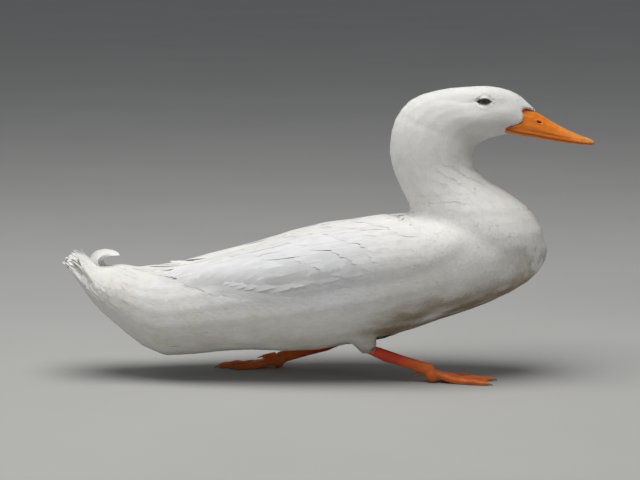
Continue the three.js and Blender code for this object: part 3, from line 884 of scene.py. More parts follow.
def follow(root, normal, heading, length):
    """Walks from each root over the skin, and straight on where the skin falls away."""
    line, ups, step = [root], [normal], length / STEPS
    for _ in range(STEPS):
        ahead = line[-1] + heading * step[:, None]
        near, n, f = nearest(ahead)
        off = (np.linalg.norm(near - ahead, axis=1) > 0.5 * step)[:, None]
        line.append(np.where(off, ahead, near))
        n = unit(np.where(off, ups[-1], n) * 0.6 + ups[-1] * 0.4)
        heading = flat(HOLD * heading + (1 - HOLD) * np.where(off, heading, f), n)
        ups.append(n)
    return np.stack(line, 1), np.stack(ups, 1)


def at_share(values, share):
    """Values along each walk at a share of its length."""
    place = np.clip(share, 0, 1) * (values.shape[1] - 1)
    low = np.minimum(np.floor(place).astype(int), values.shape[1] - 2)
    part = (place - low)[None, :, None]
    return values[:, low] * (1 - part) + values[:, low + 1] * part


DARTS = 5  # how many places are tried for each one kept, roughly


def scatter(keep, spacing):
    """Places over the skin's kept faces that stay about spacing apart, each with its face."""
    corners = skin.points[skin.faces]
    across = np.cross(corners[:, 2] - corners[:, 0], corners[:, 3] - corners[:, 1])
    wanted = np.linalg.norm(across, axis=1) / 2 * keep / spacing**2 * DARTS
    count = rng.poisson(wanted)
    face = np.repeat(np.arange(len(count)), count)
    a, b = rng.random((2, len(face)))[:, :, None]
    c = corners[face]
    place = (c[:, 0] * (1 - a) + c[:, 1] * a) * (1 - b) + (c[:, 3] * (1 - a) + c[:, 2] * a) * b
    order = rng.permutation(len(face))
    place, face = place[order], face[order]
    tree = KDTree(len(place))
    for i, p in enumerate(place.tolist()):
        tree.insert(p, i)
    tree.balance()
    gone = np.zeros(len(place), bool)
    chosen = []
    apart = spacing[face]
    for i, p in enumerate(place.tolist()):
        if gone[i]:
            continue
        chosen.append(i)
        for _, other, _ in tree.find_range(p, apart[i]):
            gone[other] = True
    return place[chosen], face[chosen]


# for a feather of so many rings: where each one lies along it, and its share of the full width
SHARES = {4: (0.0, 0.34, 0.68, 0.9), 5: (0.0, 0.3, 0.58, 0.8, 0.94)}
OUTLINE = {4: (0.5, 0.95, 0.95, 0.55), 5: (0.5, 0.9, 1.0, 0.86, 0.5)}
ROOT_HEIGHT = 0.25  # how high a feather's root lies over the skin


# the folded wing: its upper and lower edge, in degrees down from the back's middle, along the body
WING_X = (-206, -190, -139, -64, 28, 96, 138, 150)
WING_UPPER = (9, 6.5, 10, 22, 28, 36, 46, 54)
WING_LOWER = (19, 31, 61, 82, 83, 83, 76, 62)
# the line, along the body and up, that these angles turn about
AXIS_X = (-262, -240, -223, -197, -170, -131, -78, -25, 28, 80, 133)
AXIS_Z = (118, 104, 88, 77, 74, 79.5, 88, 96.5, 106, 115.5, 126)


def wing_share(x, angle):
    """Across the wing, from 0 at its upper edge to 1 at its lower one."""
    upper, lower = np.interp(x, WING_X, WING_UPPER), np.interp(x, WING_X, WING_LOWER)
    return (angle - upper) / (lower - upper)


def body_angle(points):
    axis = np.interp(points[:, 0], AXIS_X, AXIS_Z)
    return np.degrees(np.arctan2(np.abs(points[:, 1]), points[:, 2] - axis))


def under_wing(points):
    """1 where the wing's long feathers lie over the coat."""
    share = wing_share(points[:, 0], body_angle(points))
    inside = ramp(share, -0.02, 0.1) * ramp(share, 1.0, 0.9)
    return inside * ramp(points[:, 0], 70, 20) * ramp(points[:, 0], -176, -150)


def furrows_and_painted_shade(points):
    """The neck's furrows, from 0 to 1, where the coat lies deeper and is painted darker as shade, and a
    short slit on the right flank where the coat lies lower under a painted shadow line.
    """
    x, z = points[:, 0], points[:, 2]
    slanted = np.sin((z * 0.75 + x * 0.65) / 1.9 + 2.2 * noise(points, 12, 5))
    slanted = ramp(slanted, 0.2, 1) * bell(z, 232, 16) * ramp(x, 108, 126)
    # a shadow line painted along a short slit on the right flank
    painted_slit_shadow = bell(x, 30, 9) * bell(z, 114, 1.5) * (points[:, 1] < 0) * 2.5
    level = ramp(np.sin(z / 1.45 + 1.6 * noise(points, 14, 6)), 0.3, 1)
    level = level * bell(z, 208, 9) * bell(x, 124, 26)
    return np.clip(slanted + level, 0, 1) + painted_slit_shadow


def plant(coat, place, face, rings, across, soft):
    """Contour feathers rooted at these places."""
    normal, heading = face_normal[face], face_flow[face]
    run, _, _ = spine_place(place)
    count = len(place)

    def vary(amount):
        return 1 + amount * rng.standard_normal(count)

    small = (0.62 + 0.38 * ramp(from_bill(place, run), 0, 12)) * (1 - 0.62 * on_leg(place))
    small = small * (0.48 + 0.52 * ramp(from_eye(place), 0.5, 9))
    under = under_wing(place)
    length = along_coat(run, COAT_LENGTH) * small * np.clip(vary(0.09), 0.7, 1.3)
    length = np.minimum(length, np.maximum(place[:, 0] - TAIL_END, 7))
    width = along_coat(run, COAT_WIDTH) * small * np.clip(vary(0.1), 0.7, 1.3)
    sway = noise(place, 22, 8) * 0.14 + rng.standard_normal(count) * 0.07
    side = np.cross(heading, normal)
    heading = unit(heading + side * sway[:, None])
    line, ups = follow(place, normal, heading, length)
    depth = coat_depth(place)
    ruffle = 1 + 0.07 * noise(place, np.array([30, 9, 9]), 9) + 0.015 * rng.standard_normal(count)
    dip_and_shade = furrows_and_painted_shade(place)
    lift = depth * 0.9 * np.clip(ruffle, 0.6, 1.5) * (1 - 0.3 * dip_and_shade) * (1 - 0.75 * under)
    nape_foot = bell(place[:, 0], 90, 14) * bell(place[:, 2], 182, 10)
    off_eye = from_eye(place)
    lift = lift * (1 - 0.6 * nape_foot)
    lift = lift * (0.25 + 0.6 * ramp(off_eye, 1.5, 5.5) + 0.15 * ramp(off_eye, 6, 12))
    share = np.array(SHARES[rings])
    height = ROOT_HEIGHT + lift[:, None] * (1 - (1 - share[None]) ** 2.4)
    up = at_share(ups, share)
    centre = at_share(line, share) + up * height[..., None]
    tip = line[:, -1] + ups[:, -1] * (ROOT_HEIGHT + lift * 0.9)[:, None]
    half = width[:, None] / 2 * np.array(OUTLINE[rings])[None]
    wide = np.stack([half * vary(0.06)[:, None], half * vary(0.06)[:, None]], 2)
    # darker in the furrows and along the slit: painted shade
    colour = markings(place) * vary(0.018)[:, None] * (1 - 0.16 * dip_and_shade)[:, None]
    # darker along the lines that run from the eyes: painted shade
    colour = colour * (1 - 0.35 * painted_eye_shade(place))[:, None]
    coat.add(
        centre, tip, up, wide, np.clip(colour, 0, 0.95), bake_spot(place), across=across,
        soft=soft, skin_up=up,
    )


# ---------- where the coat grows

face_run = spine_place(face_middle)[0]
spacing = along_coat(face_run, COAT_SPACING)
leg_here = on_leg(face_middle)
spacing = spacing * (1 - leg_here) + LEG_SPACING * leg_here
keep = np.ones(len(face_middle))
keep[near_eye[skin.faces].mean(1) > 0.6] = 0
is_lid = skin.faces.min(1) >= bare_points
lid_out = from_eye(face_middle)
keep[is_lid & ((lid_out < 1.8) | (lid_out > 6.5))] = 0
inside_lid = is_lid & ((face_normal * unit(face_middle * [0, 1, 0])).sum(1) < 0)
keep[inside_lid] = 0
spacing = spacing * (0.66 + 0.34 * ramp(lid_out, 1, 9))

bill_near = from_bill(face_middle, face_run)
keep[bill_near < 1.0] = 0
spacing = spacing * (0.75 + 0.25 * ramp(bill_near, 0, 12))

COAT_END = -266  # behind this the tail's own rows take over
keep[face_middle[:, 0] < COAT_END] = 0
place, face = scatter(keep, spacing)
place_run = face_run[face]

# the coat's pieces: name, start and end along the spine, rings, points across, and how soft the shading is
ZONES = (
    ("coat_face", 0, 62, 4, 3, 0.82), ("coat_head", 62, 118, 4, 3, 0.8),
    ("coat_nape", 118, 180, 5, 3, 0.76), ("coat_neck", 180, 262, 5, 3, 0.72),
    ("coat_breast", 262, 350, 5, 3, 0.72), ("coat_fore", 350, 440, 5, 3, 0.72),
    ("coat_middle", 440, 530, 5, 3, 0.7), ("coat_rear", 530, 610, 5, 3, 0.66),
    ("coat_rump", 610, 999, 5, 3, 0.64),
)
plumage = plumage_material("plumage_small", 0.55, 0.2)
for name, start, end, rings, across, soft in ZONES:
    here = (place_run >= start) & (place_run < end)
    coat = Coat(name, plumage)
    plant(coat, place[here], face[here], rings, across, soft)
    coat.build()


# ---------- wings


def place_on_body(x, angle, sign):
    """The skin at each place along the body and angle down from the back's middle, with its normal."""
    places, faces = [], []
    for a, b in zip(x.ravel(), np.radians(angle.ravel())):
        axis = Vector((a, 0, np.interp(a, AXIS_X, AXIS_Z)))
        hit, _, face, _ = skin_tree.ray_cast(axis, Vector((0, sign * math.sin(b), math.cos(b))))
        places.append(tuple(hit))
        faces.append(face)
    shape = (*x.shape, 3)
    return np.array(places).reshape(shape), face_normal[np.array(faces)].reshape(shape)


def evened(values, rounds):
    for _ in range(rounds):
        middle = (values[:, :-2] + 2 * values[:, 1:-1] + values[:, 2:]) / 4
        values = np.concatenate([values[:, :1], middle, values[:, -1:]], 1)
    return values


def vane_outline(share, blunt):
    """A long feather's half width, of 1, at each share of its length."""
    grown = 0.35 + 0.65 * ramp(share, 0, 0.22)
    end = np.clip((share - blunt) / (1 - blunt), 0, 1)
    return grown * np.sqrt(np.maximum(1 - end**2, 0.0))


LONG_RINGS = 26
LONG_ACROSS = 7


def notched(vanes, rings, chance, deep):
    """Small splits at a long feather's edge: what is left of its half width at each ring."""
    split = (rng.random((vanes, rings, 2)) < chance) * rng.uniform(0.3, 1, (vanes, rings, 2)) * deep
    return 1 - split


def add_long(coat, line, up, width, outer, blunt, narrow, camber=0.1, soft=0.55, roll=None):
    """Long feathers along lines (vanes, points, 3). outer is -1 or 1, the side of the narrower web, and
    narrow that web's share of the half width."""
    vanes, rings = len(line), line.shape[1] - 1
    share = np.linspace(0, 1, rings + 1)[:-1]
    half = np.reshape(width, (-1, 1)) / 2 * vane_outline(share, blunt)[None] * np.ones((vanes, 1))
    webs = (narrow, 2 - narrow) if outer < 0 else (2 - narrow, narrow)
    wide = half[..., None] * np.array(webs) * notched(vanes, rings, 0.1, 0.22)
    colour = markings(line[:, rings // 2]) * (1 + 0.02 * rng.standard_normal(vanes))[:, None]
    # the long feathers carry a painted highlight on their edges and painted shade down the middle (rim)
    coat.add(
        line[:, :-1], line[:, -1], up[:, :-1], wide, np.clip(colour, 0, 0.95), bake_spot(line[:, 0]),
        across=LONG_ACROSS, camber=camber, soft=soft, skin_up=up[:, :-1], roll=roll, rim=0.035,
    )


def wing_tract(coat, sign, count, tip_x, tip_angle, slant, length, width, height, blunt=0.72, narrow=0.8):
    """A row of long feathers lying on the body."""
    f = np.linspace(0, 1, count)
    x = tip_x[0] + (tip_x[1] - tip_x[0]) * f + rng.normal(0, 0.03 * length[0], count)
    angle = np.interp(f, np.linspace(0, 1, len(tip_angle)), tip_angle) + rng.normal(0, 0.5, count)
    long = length[0] + (length[1] - length[0]) * f
    t = np.linspace(0, 1, LONG_RINGS + 1)[None]
    along_x = (x + long)[:, None] * (1 - t) + x[:, None] * t
    along_angle = angle[:, None] - slant * (1 - t)
    place, up = place_on_body(along_x, along_angle, sign)
    place, up = evened(place, 6), unit(evened(up, 6))
    layer = np.linspace(0, 1, count)[:, None] * 0.5
    rise = height[0] + (height[1] - height[0]) * (1 - (1 - t) ** 3) + layer
    wide = width[0] + (width[1] - width[0]) * f
    add_long(coat, place + up * rise[..., None], up, wide, sign, blunt, narrow)


# the longest primary, whose tip stands clear of the rump
CLEAR_TIP = {
    "right": ((-104, 17, 126), (-146, 16, 127.5), (-175, 13, 129.5)),
    "left": ((-104, 15, 128), (-142, 13, 128), (-168, 9, 126.5)),
}


def clear_tip(coat, side, sign):
    line = even_line(np.array(CLEAR_TIP[side]) * [1, sign, 1], LONG_RINGS + 1)[None]
    up = unit(np.array([0.0, 0.4 * sign, 1.0])) * np.ones((1, LONG_RINGS + 1, 1))
    add_long(coat, line, up, 9, sign, 0.3, 0.8)


def lower_edge(first, last, below):
    """Angles along the wing's lower edge between two places along the body."""
    return [np.interp(x, WING_X, WING_LOWER) + below for x in np.linspace(first, last, 6)]


# each row's number of feathers, first and last tip along the body, tips' angles from the back's middle,
# slant in degrees, first and last length and width, height at root and tip, bluntness and narrower web
WING_ROWS = (
    # primaries, whose tips show behind the rest
    (6, (-184, -221), (26, 20, 12), 9, (120, 120), (12, 12), (1.2, 3.0), 0.8, 0.6),
    # secondaries, whose tips make the wing's lower edge
    (14, (-62, -180), lower_edge(-62, -180, -1), 3, (92, 100), (19, 17), (0.6, 2.6)),
    # greater, median and lesser coverts, and the smallest ones on the shoulder
    (17, (-8, -122), (80, 74, 66, 52, 36), 3, (56, 60), (16, 14), (1.2, 2.5), 0.5),
    (19, (26, -76), (80, 72, 62, 49, 35), 2, (42, 46), (12.5, 12), (1.5, 2.75), 0.5),
    (21, (52, -38), (80, 70, 58, 45, 34), 1, (32, 36), (10, 10), (1.7, 2.9), 0.5),
    (23, (72, -6), (79, 67, 55, 43, 34), 0, (25, 30), (8, 8.5), (1.8, 3.05), 0.5),
    # tertials, then the scapulars from the shoulder over the wing's upper edge
    (7, (-118, -162), (47, 37, 28, 19, 12), 2, (120, 120), (19, 15), (1.6, 2.9), 0.5),
    (10, (-66, -132), (50, 40, 28, 18, 8), -2, (78, 84), (15, 14), (1.9, 3.1), 0.4),
    (12, (-22, -92), (50, 40, 29, 18, 8), -2, (64, 74), (13, 13), (1.9, 3.2), 0.4),
    (14, (20, -48), (50, 41, 30, 19, 8), -3, (50, 60), (11.5, 12), (2.0, 3.25), 0.4),
    (16, (50, -8), (50, 42, 31, 19, 8), -3, (36, 46), (9.5, 10.5), (2.0, 3.25), 0.4),
    (18, (76, 26), (50, 42, 31, 19, 8), -3, (26, 34), (8, 8.5), (2.0, 3.2), 0.4),
    # flank feathers that lap over the wing's lower edge
    (16, (-46, -158), lower_edge(-46, -158, 3), -13, (44, 46), (13, 14), (1.6, 3.6), 0.4),
)
plumage_long = plumage_material("plumage_long", 1.3, 0.5)
for side, sign in SIDES.items():
    wing = Coat(f"wing_feathers_{side}", plumage_long)
    for row in WING_ROWS:
        wing_tract(wing, sign, *row)
    clear_tip(wing, side, sign)
    wing.build()


# ---------- tail

TAIL_FEATHERS = 18
TAIL_WIDE = 13  # one feather's width
FAN_HALF, FAN_ROOT = 35, -226  # the fan's half width, and where it starts along the body
tail = Coat("tail_feathers", plumage_long)
tail_trees = [cad_tree(name) for name in ("tail", "trunk")]


def outside(start, way):
    """Where a line from outside first meets the tail or the trunk, from 0 up along the line."""
    hits = [tree.ray_cast(Vector(start), Vector(way))[3] for tree in tail_trees]
    return min(h for h in hits if h is not None)


def tail_section(x):
    """The tail's top, bottom and half width at a place along the body."""
    top, bottom = 300 - outside((x, 0, 300), (0, 0, -1)), outside((x, 0, 0), (0, 0, 1))
    return top, bottom, 200 - outside((x, -200, (top + bottom) / 2), (0, 1, 0))


TAIL_X = (-293, -290, -284, -278, -272, -266, -260, -248, -230, -212)
sections = [tail_section(x) for x in TAIL_X[1:]]
tip = (sections[0][0] + sections[0][1]) / 2
TAIL_TOP, TAIL_BOTTOM, TAIL_HALF = np.array([(tip + 0.5, tip - 0.5, 8), *sections]).T


def tail_lines(x, turn, sunk):
    """Lines along the tail's outside at each turn round it from the top, and the way they face."""
    top, bottom, half = (np.interp(x, TAIL_X, column) for column in (TAIL_TOP, TAIL_BOTTOM, TAIL_HALF))
    middle, high = (top + bottom) / 2, (top - bottom) / 2
    up = unit(np.stack([0 * x, np.sin(turn) / half, np.cos(turn) / high], 2))
    line = np.stack([x, half * np.sin(turn), middle + high * np.cos(turn)], 2)
    return evened(line - up * sunk[..., None], 6), unit(evened(up, 6))


def halves(line, up, beside, **shape):
    """Tail feathers, those on the right and then those on the left, each with its narrow web outward."""
    for outer, here in ((RIGHT, beside <= 0), (LEFT, beside > 0)):
        add_long(tail, line[here], up[here], TAIL_WIDE, outer, **shape)


def tail_row(tip_x, turns, reach):
    """A row of coverts whose tips lie at tip_x. turns are degrees round from the top."""
    count = len(turns)
    t = np.linspace(0, 1, LONG_RINGS + 1)[None]
    x = (tip_x + rng.normal(0, 1.6, count))[:, None] + reach * (1 - t)
    turn = np.radians(turns + rng.normal(0, 1.5, count))[:, None] + 0 * t
    line, up = tail_lines(x, turn, 3.2 * (1 - t) ** 1.5 - 0.3 * t)
    halves(line, up, turns, blunt=0.5, narrow=0.95, soft=0.6)


def tail_fan(count, short, raised):
    """The long feathers, closed into a drooping fan. The tips fall short by short and rise by raised."""
    seat = np.linspace(-1, 1, count)
    t = np.linspace(0, 1, LONG_RINGS + 1)[None]
    tip_y = FAN_HALF * np.abs(seat)
    tip_x = np.interp(tip_y, TAIL_HALF[:5], TAIL_X[:5]) + rng.normal(0, 0.8, count)
    tip_z = np.interp(tip_x, TAIL_X, (TAIL_TOP + TAIL_BOTTOM) / 2) + raised * (1 - 0.5 * seat**2)
    x = (tip_x + short)[:, None] * t + FAN_ROOT * (1 - t)
    y = FAN_HALF * seat[:, None] * (0.6 + 0.4 * t)
    z = tip_z[:, None] * t + (104 - 6 * seat[:, None] ** 2) * (1 - t)
    line = np.stack([x, y, z + 0.4 * (1 - np.abs(seat))[:, None]], 2)
    up = unit(np.stack([0.4 + 0 * x, 0.6 * seat[:, None] + 0 * x, 1 + 0 * x], 2))
    halves(line, up, seat, blunt=0.6, narrow=0.8)


for fewer, (short, raised) in enumerate(((0, 0), (1.5, 2.2), (3.5, 4.2), (5.5, 6.2))):
    tail_fan(TAIL_FEATHERS - fewer, short, raised)

# the coverts above and below them
under_turns = np.r_[np.linspace(-176, -94, 9), np.linspace(94, 176, 9)]
upper_turns = np.linspace(-92, 92, 15)
for tip_x in (-287, -281, -274, -266, -257, -246):
    tail_row(tip_x, under_turns + rng.uniform(-3, 3), 34)
UPPER_ROWS = (
    (-289, 34), (-286, 34), (-283, 34), (-277, 32), (-269, 32), (-260, 32), (-250, 30), (-239, 28),
)
for tip_x, reach in UPPER_ROWS:
    tail_row(tip_x, upper_turns + rng.uniform(-4, 4), reach)
tail.build()

# the drake's curled feathers: how far each one stands beside the body's middle, which way it rolls, and
# its line along the body and up
CURLS = (
    (-5.0, -1, (
        (-234, 104), (-248, 113), (-256.5, 121), (-259, 128), (-256.5, 134), (-250, 137.6), (-243, 139),
        (-238, 139.2),
    )),
    (1.5, -1, (
        (-234, 106), (-247, 115), (-253.5, 122), (-254.8, 129), (-250.5, 134), (-243, 136.2), (-236, 136),
        (-230.5, 134),
    )),
    (8.0, 1, (
        (-232, 104), (-245, 113), (-252, 120), (-254.5, 126), (-252.5, 131.5), (-247, 134.5), (-241, 135),
        (-237, 133.6),
    )),
)
curls = Coat("curled_feathers", plumage_long, ("curl_1", "curl_2", "curl_3"))
for beside, rolled, hook in CURLS:
    lean = beside * np.linspace(0.6, 1.1, len(hook))
    line = even_line([(x, y, z) for (x, z), y in zip(hook, lean)], LONG_RINGS + 1)[None]
    up = np.cross([0, 1.0, 0], unit(np.gradient(line, axis=1)))
    roll = np.linspace(1.1, 0.6, LONG_RINGS)[None] * rolled
    add_long(curls, line, up, 15, RIGHT, 0.25, 0.9, camber=0.15, soft=0.0, roll=roll)
curls.build()


# ---------- bill, legs, claws and eyes


def shaped(name, voxel, rounds):
    """A CAD node as a fine, soft-edged mesh."""
    surface = remeshed(*cad_mesh(name), voxel)
    surface.smooth(rounds)
    return surface


BILL_ORANGE = np.array([0.84, 0.225, 0.006])
BILL_PALE = (0.86, 0.42, 0.1)
BILL_RED = (0.22, 0.035, 0.012)
BILL_DARK = (0.5, 0.1, 0.01)
# painted shade inside the nostril
NOSTRIL_PAINTED_SHADE = (0.1, 0.012, 0.004)
NOSTRIL = (229, 282.4, 3.4, 1.15)  # along, up, half long, half high
NOSTRIL_SLOPE = math.radians(-20)
NAIL_START = 279
# the upper bill's lower edge, along the body and up
LIP_X, LIP_Z = (190, 215, 243, 275, 292), (275.5, 270.3, 264.9, 259.8, 257.8)
bill_shader = bill_material()
head_tree = cad_tree("head")


def bill_half(name, voxel):
    """Half the bill, drawn in under the face's feathers, and where it is drawn in, from 0 to 1."""
    half = shaped(name, voxel, 5)
    near_head = np.array([head_tree.find_nearest(p)[3] for p in half.points.tolist()])
    tuck = ramp(near_head, 1.6, 0.5)
    half.points = half.points + np.outer(tuck, [-2.2, 0, 0])
    return half, tuck


def bill_colour(tone, grain):
    return np.tile(BILL_ORANGE * tone, (len(grain), 1)) * (1 + 0.07 * grain)[:, None]


upper, tuck = bill_half("bill_upper", 0.6)
upper.points[:, 1] *= 1 - 0.04 * tuck
normal = upper.normals()
x, y, z = upper.points.T
slope_x, slope_z = math.cos(NOSTRIL_SLOPE), math.sin(NOSTRIL_SLOPE)
along = (x - NOSTRIL[0]) * slope_x + (z - NOSTRIL[1]) * slope_z
above = (z - NOSTRIL[1]) * slope_x - (x - NOSTRIL[0]) * slope_z
hole = np.hypot(along / NOSTRIL[2], above / NOSTRIL[3])
beside = np.abs(y) > 3
pit = ramp(hole, 1.1, 0.5) * beside
rim = bell(hole, 1.5, 0.35) * beside
lip = bell(z - np.interp(x, LIP_X, LIP_Z), 3.4, 1.0) * ramp(x, 205, 222) * ramp(x, 288, 276)
nail = ramp(x, NAIL_START, NAIL_START + 3) * ramp(np.abs(y), 6.2, 4.6) * (normal[:, 2] > 0.1)
grain = noise(upper.points, np.array([7, 2.2, 2.2]), 12)
push = -1.9 * pit + 0.3 * rim - 0.3 * lip + 0.55 * nail + 0.1 * grain
upper.points = upper.points + normal * push[:, None]
upper.smooth(1)
# paler where the bill's top faces up: a painted highlight
ridge = ramp(normal[:, 2], 0.55, 0.95) * ramp(x, 225, 245)
gape = bell(x, 196, 7) * bell(z, 277, 3.2)
colour = bill_colour(1, grain)
# the ridge's paleness is a painted highlight; the nail and the tip are paler in their own colour
colour = blended(colour, BILL_PALE, 0.35 * ridge + 0.75 * nail + 0.35 * ramp(x, 262, 290))
# dark red at the gape's corner, and painted shade where the bill runs in under the face's feathers
colour = blended(colour, BILL_RED, 0.85 * gape + 0.35 * tuck)
# the nostril's hole painted near black: painted shade
colour = blended(colour, NOSTRIL_PAINTED_SHADE, 0.95 * ramp(hole, 1.0, 0.6) * beside)
colour = blended(colour, BILL_DARK, 0.5 * lip)
set_tint(quad_piece("bill_upper_horn", upper, bill_shader, ("bill_upper",)), colour)

lower, _ = bill_half("bill_lower", 0.7)
colour = bill_colour(0.92, noise(lower.points, np.array([7, 2.2, 2.2]), 13))
colour = blended(colour, BILL_PALE, 0.3 * ramp(lower.points[:, 0], 230, 285))
set_tint(quad_piece("bill_lower_horn", lower, bill_shader, ("bill_lower",)), colour)

SHANK_RED = np.array([0.76, 0.06, 0.008])
FOOT_ORANGE = np.array([0.84, 0.19, 0.02])
WEB_ORANGE = (0.86, 0.27, 0.05)
FLOOR_TOUCH_DARK = (0.3, 0.06, 0.012)
CLAW_ROOT, CLAW_TIP = [0.5, 0.3, 0.14], (0.16, 0.11, 0.08)
LEG_OVERLAP = 0.4
LEG_INTO_FEATHERS = 6
LEG_VOXEL = 0.62
JOINT_SPREAD, JOINT_ROUNDS = 15, 26  # how far round the ankle the leg is evened out, and how much
SCUTE = 2.4
WEB_FOLDS = 70
LEG_PARTS = ("shank", "foot", "hind_toe")
TOES = ("inner", "middle", "outer")
leg_shader, claw_shader = leg_material(), claw_material()
LEVEL = np.array([1, 1, 0])


def tooth(run):
    """A row of overlapping plates, from 0 to 1 over each."""
    return run / SCUTE - np.floor(run / SCUTE)


def toe_way(side, toe, ankle):
    """The place of a toe's claw on the floor, and the way from the ankle to it."""
    claw = sum(box_of(f"claw_{side}_{toe}")) / 2 * LEVEL
    return claw, unit(claw - ankle * LEVEL)


def leg_surface(side, ankle):
    """Shank, foot and hind toe as one surface, its upper end drawn on into the feathers."""
    hock = hocks[side]
    upward = unit(hock - ankle)
    (points, faces), *others = [swollen(f"{name}_{side}", LEG_OVERLAP) for name in LEG_PARTS]
    top = ramp((points - hock) @ upward, -10, -2)[:, None]
    points = points + upward * LEG_INTO_FEATHERS * top
    points = points + (hock + upward * 4 - points) * 0.25 * top
    leg = remeshed(*joined([(points, faces), *others]), LEG_VOXEL)
    leg.smooth(4)
    leg.points = leg.points - leg.normals() * LEG_OVERLAP
    joint = bell(np.linalg.norm(leg.points - ankle, axis=1), 0, JOINT_SPREAD)[:, None]
    for _ in range(JOINT_ROUNDS):
        moved = leg.points + 0.5 * joint * (leg.around(leg.points) - leg.points)
        leg.points[:, :2] = moved[:, :2]
        leg.points[:, 2] = np.where(leg.points[:, 2] > 1.5, moved[:, 2], leg.points[:, 2])
    for toe in TOES:
        claw, way = toe_way(side, toe, ankle)
        off = leg.points * LEVEL - claw
        along = off @ way
        beside = off - np.outer(along, way)
        narrow = 0.34 * ramp(along, -13, -3.5) * (np.linalg.norm(beside, axis=1) < 6)
        leg.points = leg.points - beside * narrow[:, None]
        leg.points[:, 2] *= 1 - 0.6 * narrow
    leg.points[:, 2] = np.maximum(leg.points[:, 2], 0.05)
    return leg


def build_leg(side, sign, ankle):
    """The scaled leg: plates down the shank's front and along each toe, and a folded web between them."""
    foot_middle = np.array([toe_way(side, toe, ankle)[0] for toe in TOES]).mean(0)
    leg = leg_surface(side, ankle)
    normal = leg.normals()
    upward = unit(hocks[side] - ankle)
    ahead = unit((foot_middle - ankle) * LEVEL)
    off = leg.points - ankle
    up_leg = off @ upward
    on_shank = ramp(up_leg, 4, 12) * ramp(np.linalg.norm(off - np.outer(up_leg, upward), axis=1), 14, 10)
    front = ramp(normal @ flat(ahead * sign * -1 + 0.4 * UP, upward), 0.1, 0.6) * on_shank
    cut = tooth(-up_leg)
    off_toe, toe_run = np.full(len(leg.points), FAR), np.zeros(len(leg.points))
    for toe in TOES:
        _, way = toe_way(side, toe, ankle)
        along = off * LEVEL @ way
        beside = np.linalg.norm(off * LEVEL - np.outer(along, way), axis=1)
        beside = np.where(along < 0, FAR, beside)
        toe_run = np.where(beside < off_toe, along, toe_run)
        off_toe = np.minimum(off_toe, beside)
    on_foot = 1 - on_shank
    on_top = ramp(normal[:, 2], 0.15, 0.6) * on_foot
    on_toe = ramp(off_toe, 4.2, 2.6) * on_top
    toe_cut = tooth(toe_run)
    height = leg.points[:, 2]
    fold = np.sin(np.arctan2(off[:, 1], off[:, 0]) * WEB_FOLDS + 2 * noise(leg.points, 9, 16))
    web = ramp(off_toe, 3.2, 5.2) * ramp(toe_run, 10, 18) * on_foot * ramp(height, 9, 6)
    push = front * (0.3 * cut - 0.1) + 0.14 * noise(leg.points, 3.0, 14) * (1 - front) * on_shank
    push += on_toe * (0.3 * toe_cut - 0.1) + web * 0.16 * fold * on_top
    push += 0.1 * noise(leg.points, 2.6, 17) * on_foot
    leg.points = leg.points + normal * (push * ramp(height, 0.6, 1.6))[:, None]
    colour = np.tile(FOOT_ORANGE, (len(leg.points), 1))
    colour = blended(colour, SHANK_RED, ramp(up_leg, 8, 46) * on_shank)
    colour = colour * (1 + 0.12 * noise(leg.points, 10, 15))[:, None]
    colour = blended(colour, WEB_ORANGE, 0.6 * web)
    lines = 0.25 * front * ramp(cut, 0.2, 0.0) + 0.3 * on_toe * ramp(toe_cut, 0.22, 0.0)
    # the scutes' seams are darker, and the web is painted darker on its folds as shade
    colour = colour * (1 - lines - 0.1 * web * np.abs(fold))[:, None]
    # darker within a millimetre of the floor
    colour = blended(colour, FLOOR_TOUCH_DARK, 0.5 * ramp(leg.points[:, 2], 1.0, 0.1))
    replaced = tuple(f"{name}_{side}" for name in LEG_PARTS)
    set_tint(quad_piece(f"leg_scaled_{side}", leg, leg_shader, replaced), colour)


def build_claw(name, heel):
    """A claw that darkens towards its tip."""
    claw = shaped(f"claw_{name}", 0.35, 3)
    reach = np.linalg.norm(claw.points - heel, axis=1)
    share = (reach - reach.min()) / (reach.max() - reach.min())
    colour = blended(np.tile(CLAW_ROOT, (len(share), 1)), CLAW_TIP, ramp(share, 0.2, 1))
    set_tint(quad_piece(f"claw_horn_{name}", claw, claw_shader, (f"claw_{name}",)), colour)


for side, sign in SIDES.items():
    ankle = shank_end(side, -1)
    build_leg(side, sign, ankle)
    for toe in (*TOES, "hind"):
        build_claw(f"{side}_{toe}", ankle * LEVEL)

EYE_RINGS, EYE_STEPS = 40, 48
CORNEA = 0.35  # how far the eye's front stands out from the ball
# the ball from its front to its back: how far round it in degrees, and its colour
EYE_TONES = (
    (0, 0.004, 0.004, 0.005), (15, 0.004, 0.004, 0.005), (21, 0.008, 0.005, 0.004),
    (24, 0.05, 0.024, 0.012), (40, 0.035, 0.016, 0.009), (52, 0.012, 0.007, 0.005),
    (60, 0.03, 0.018, 0.014), (180, 0.06, 0.04, 0.03),
)
eye_shader = eye_material()


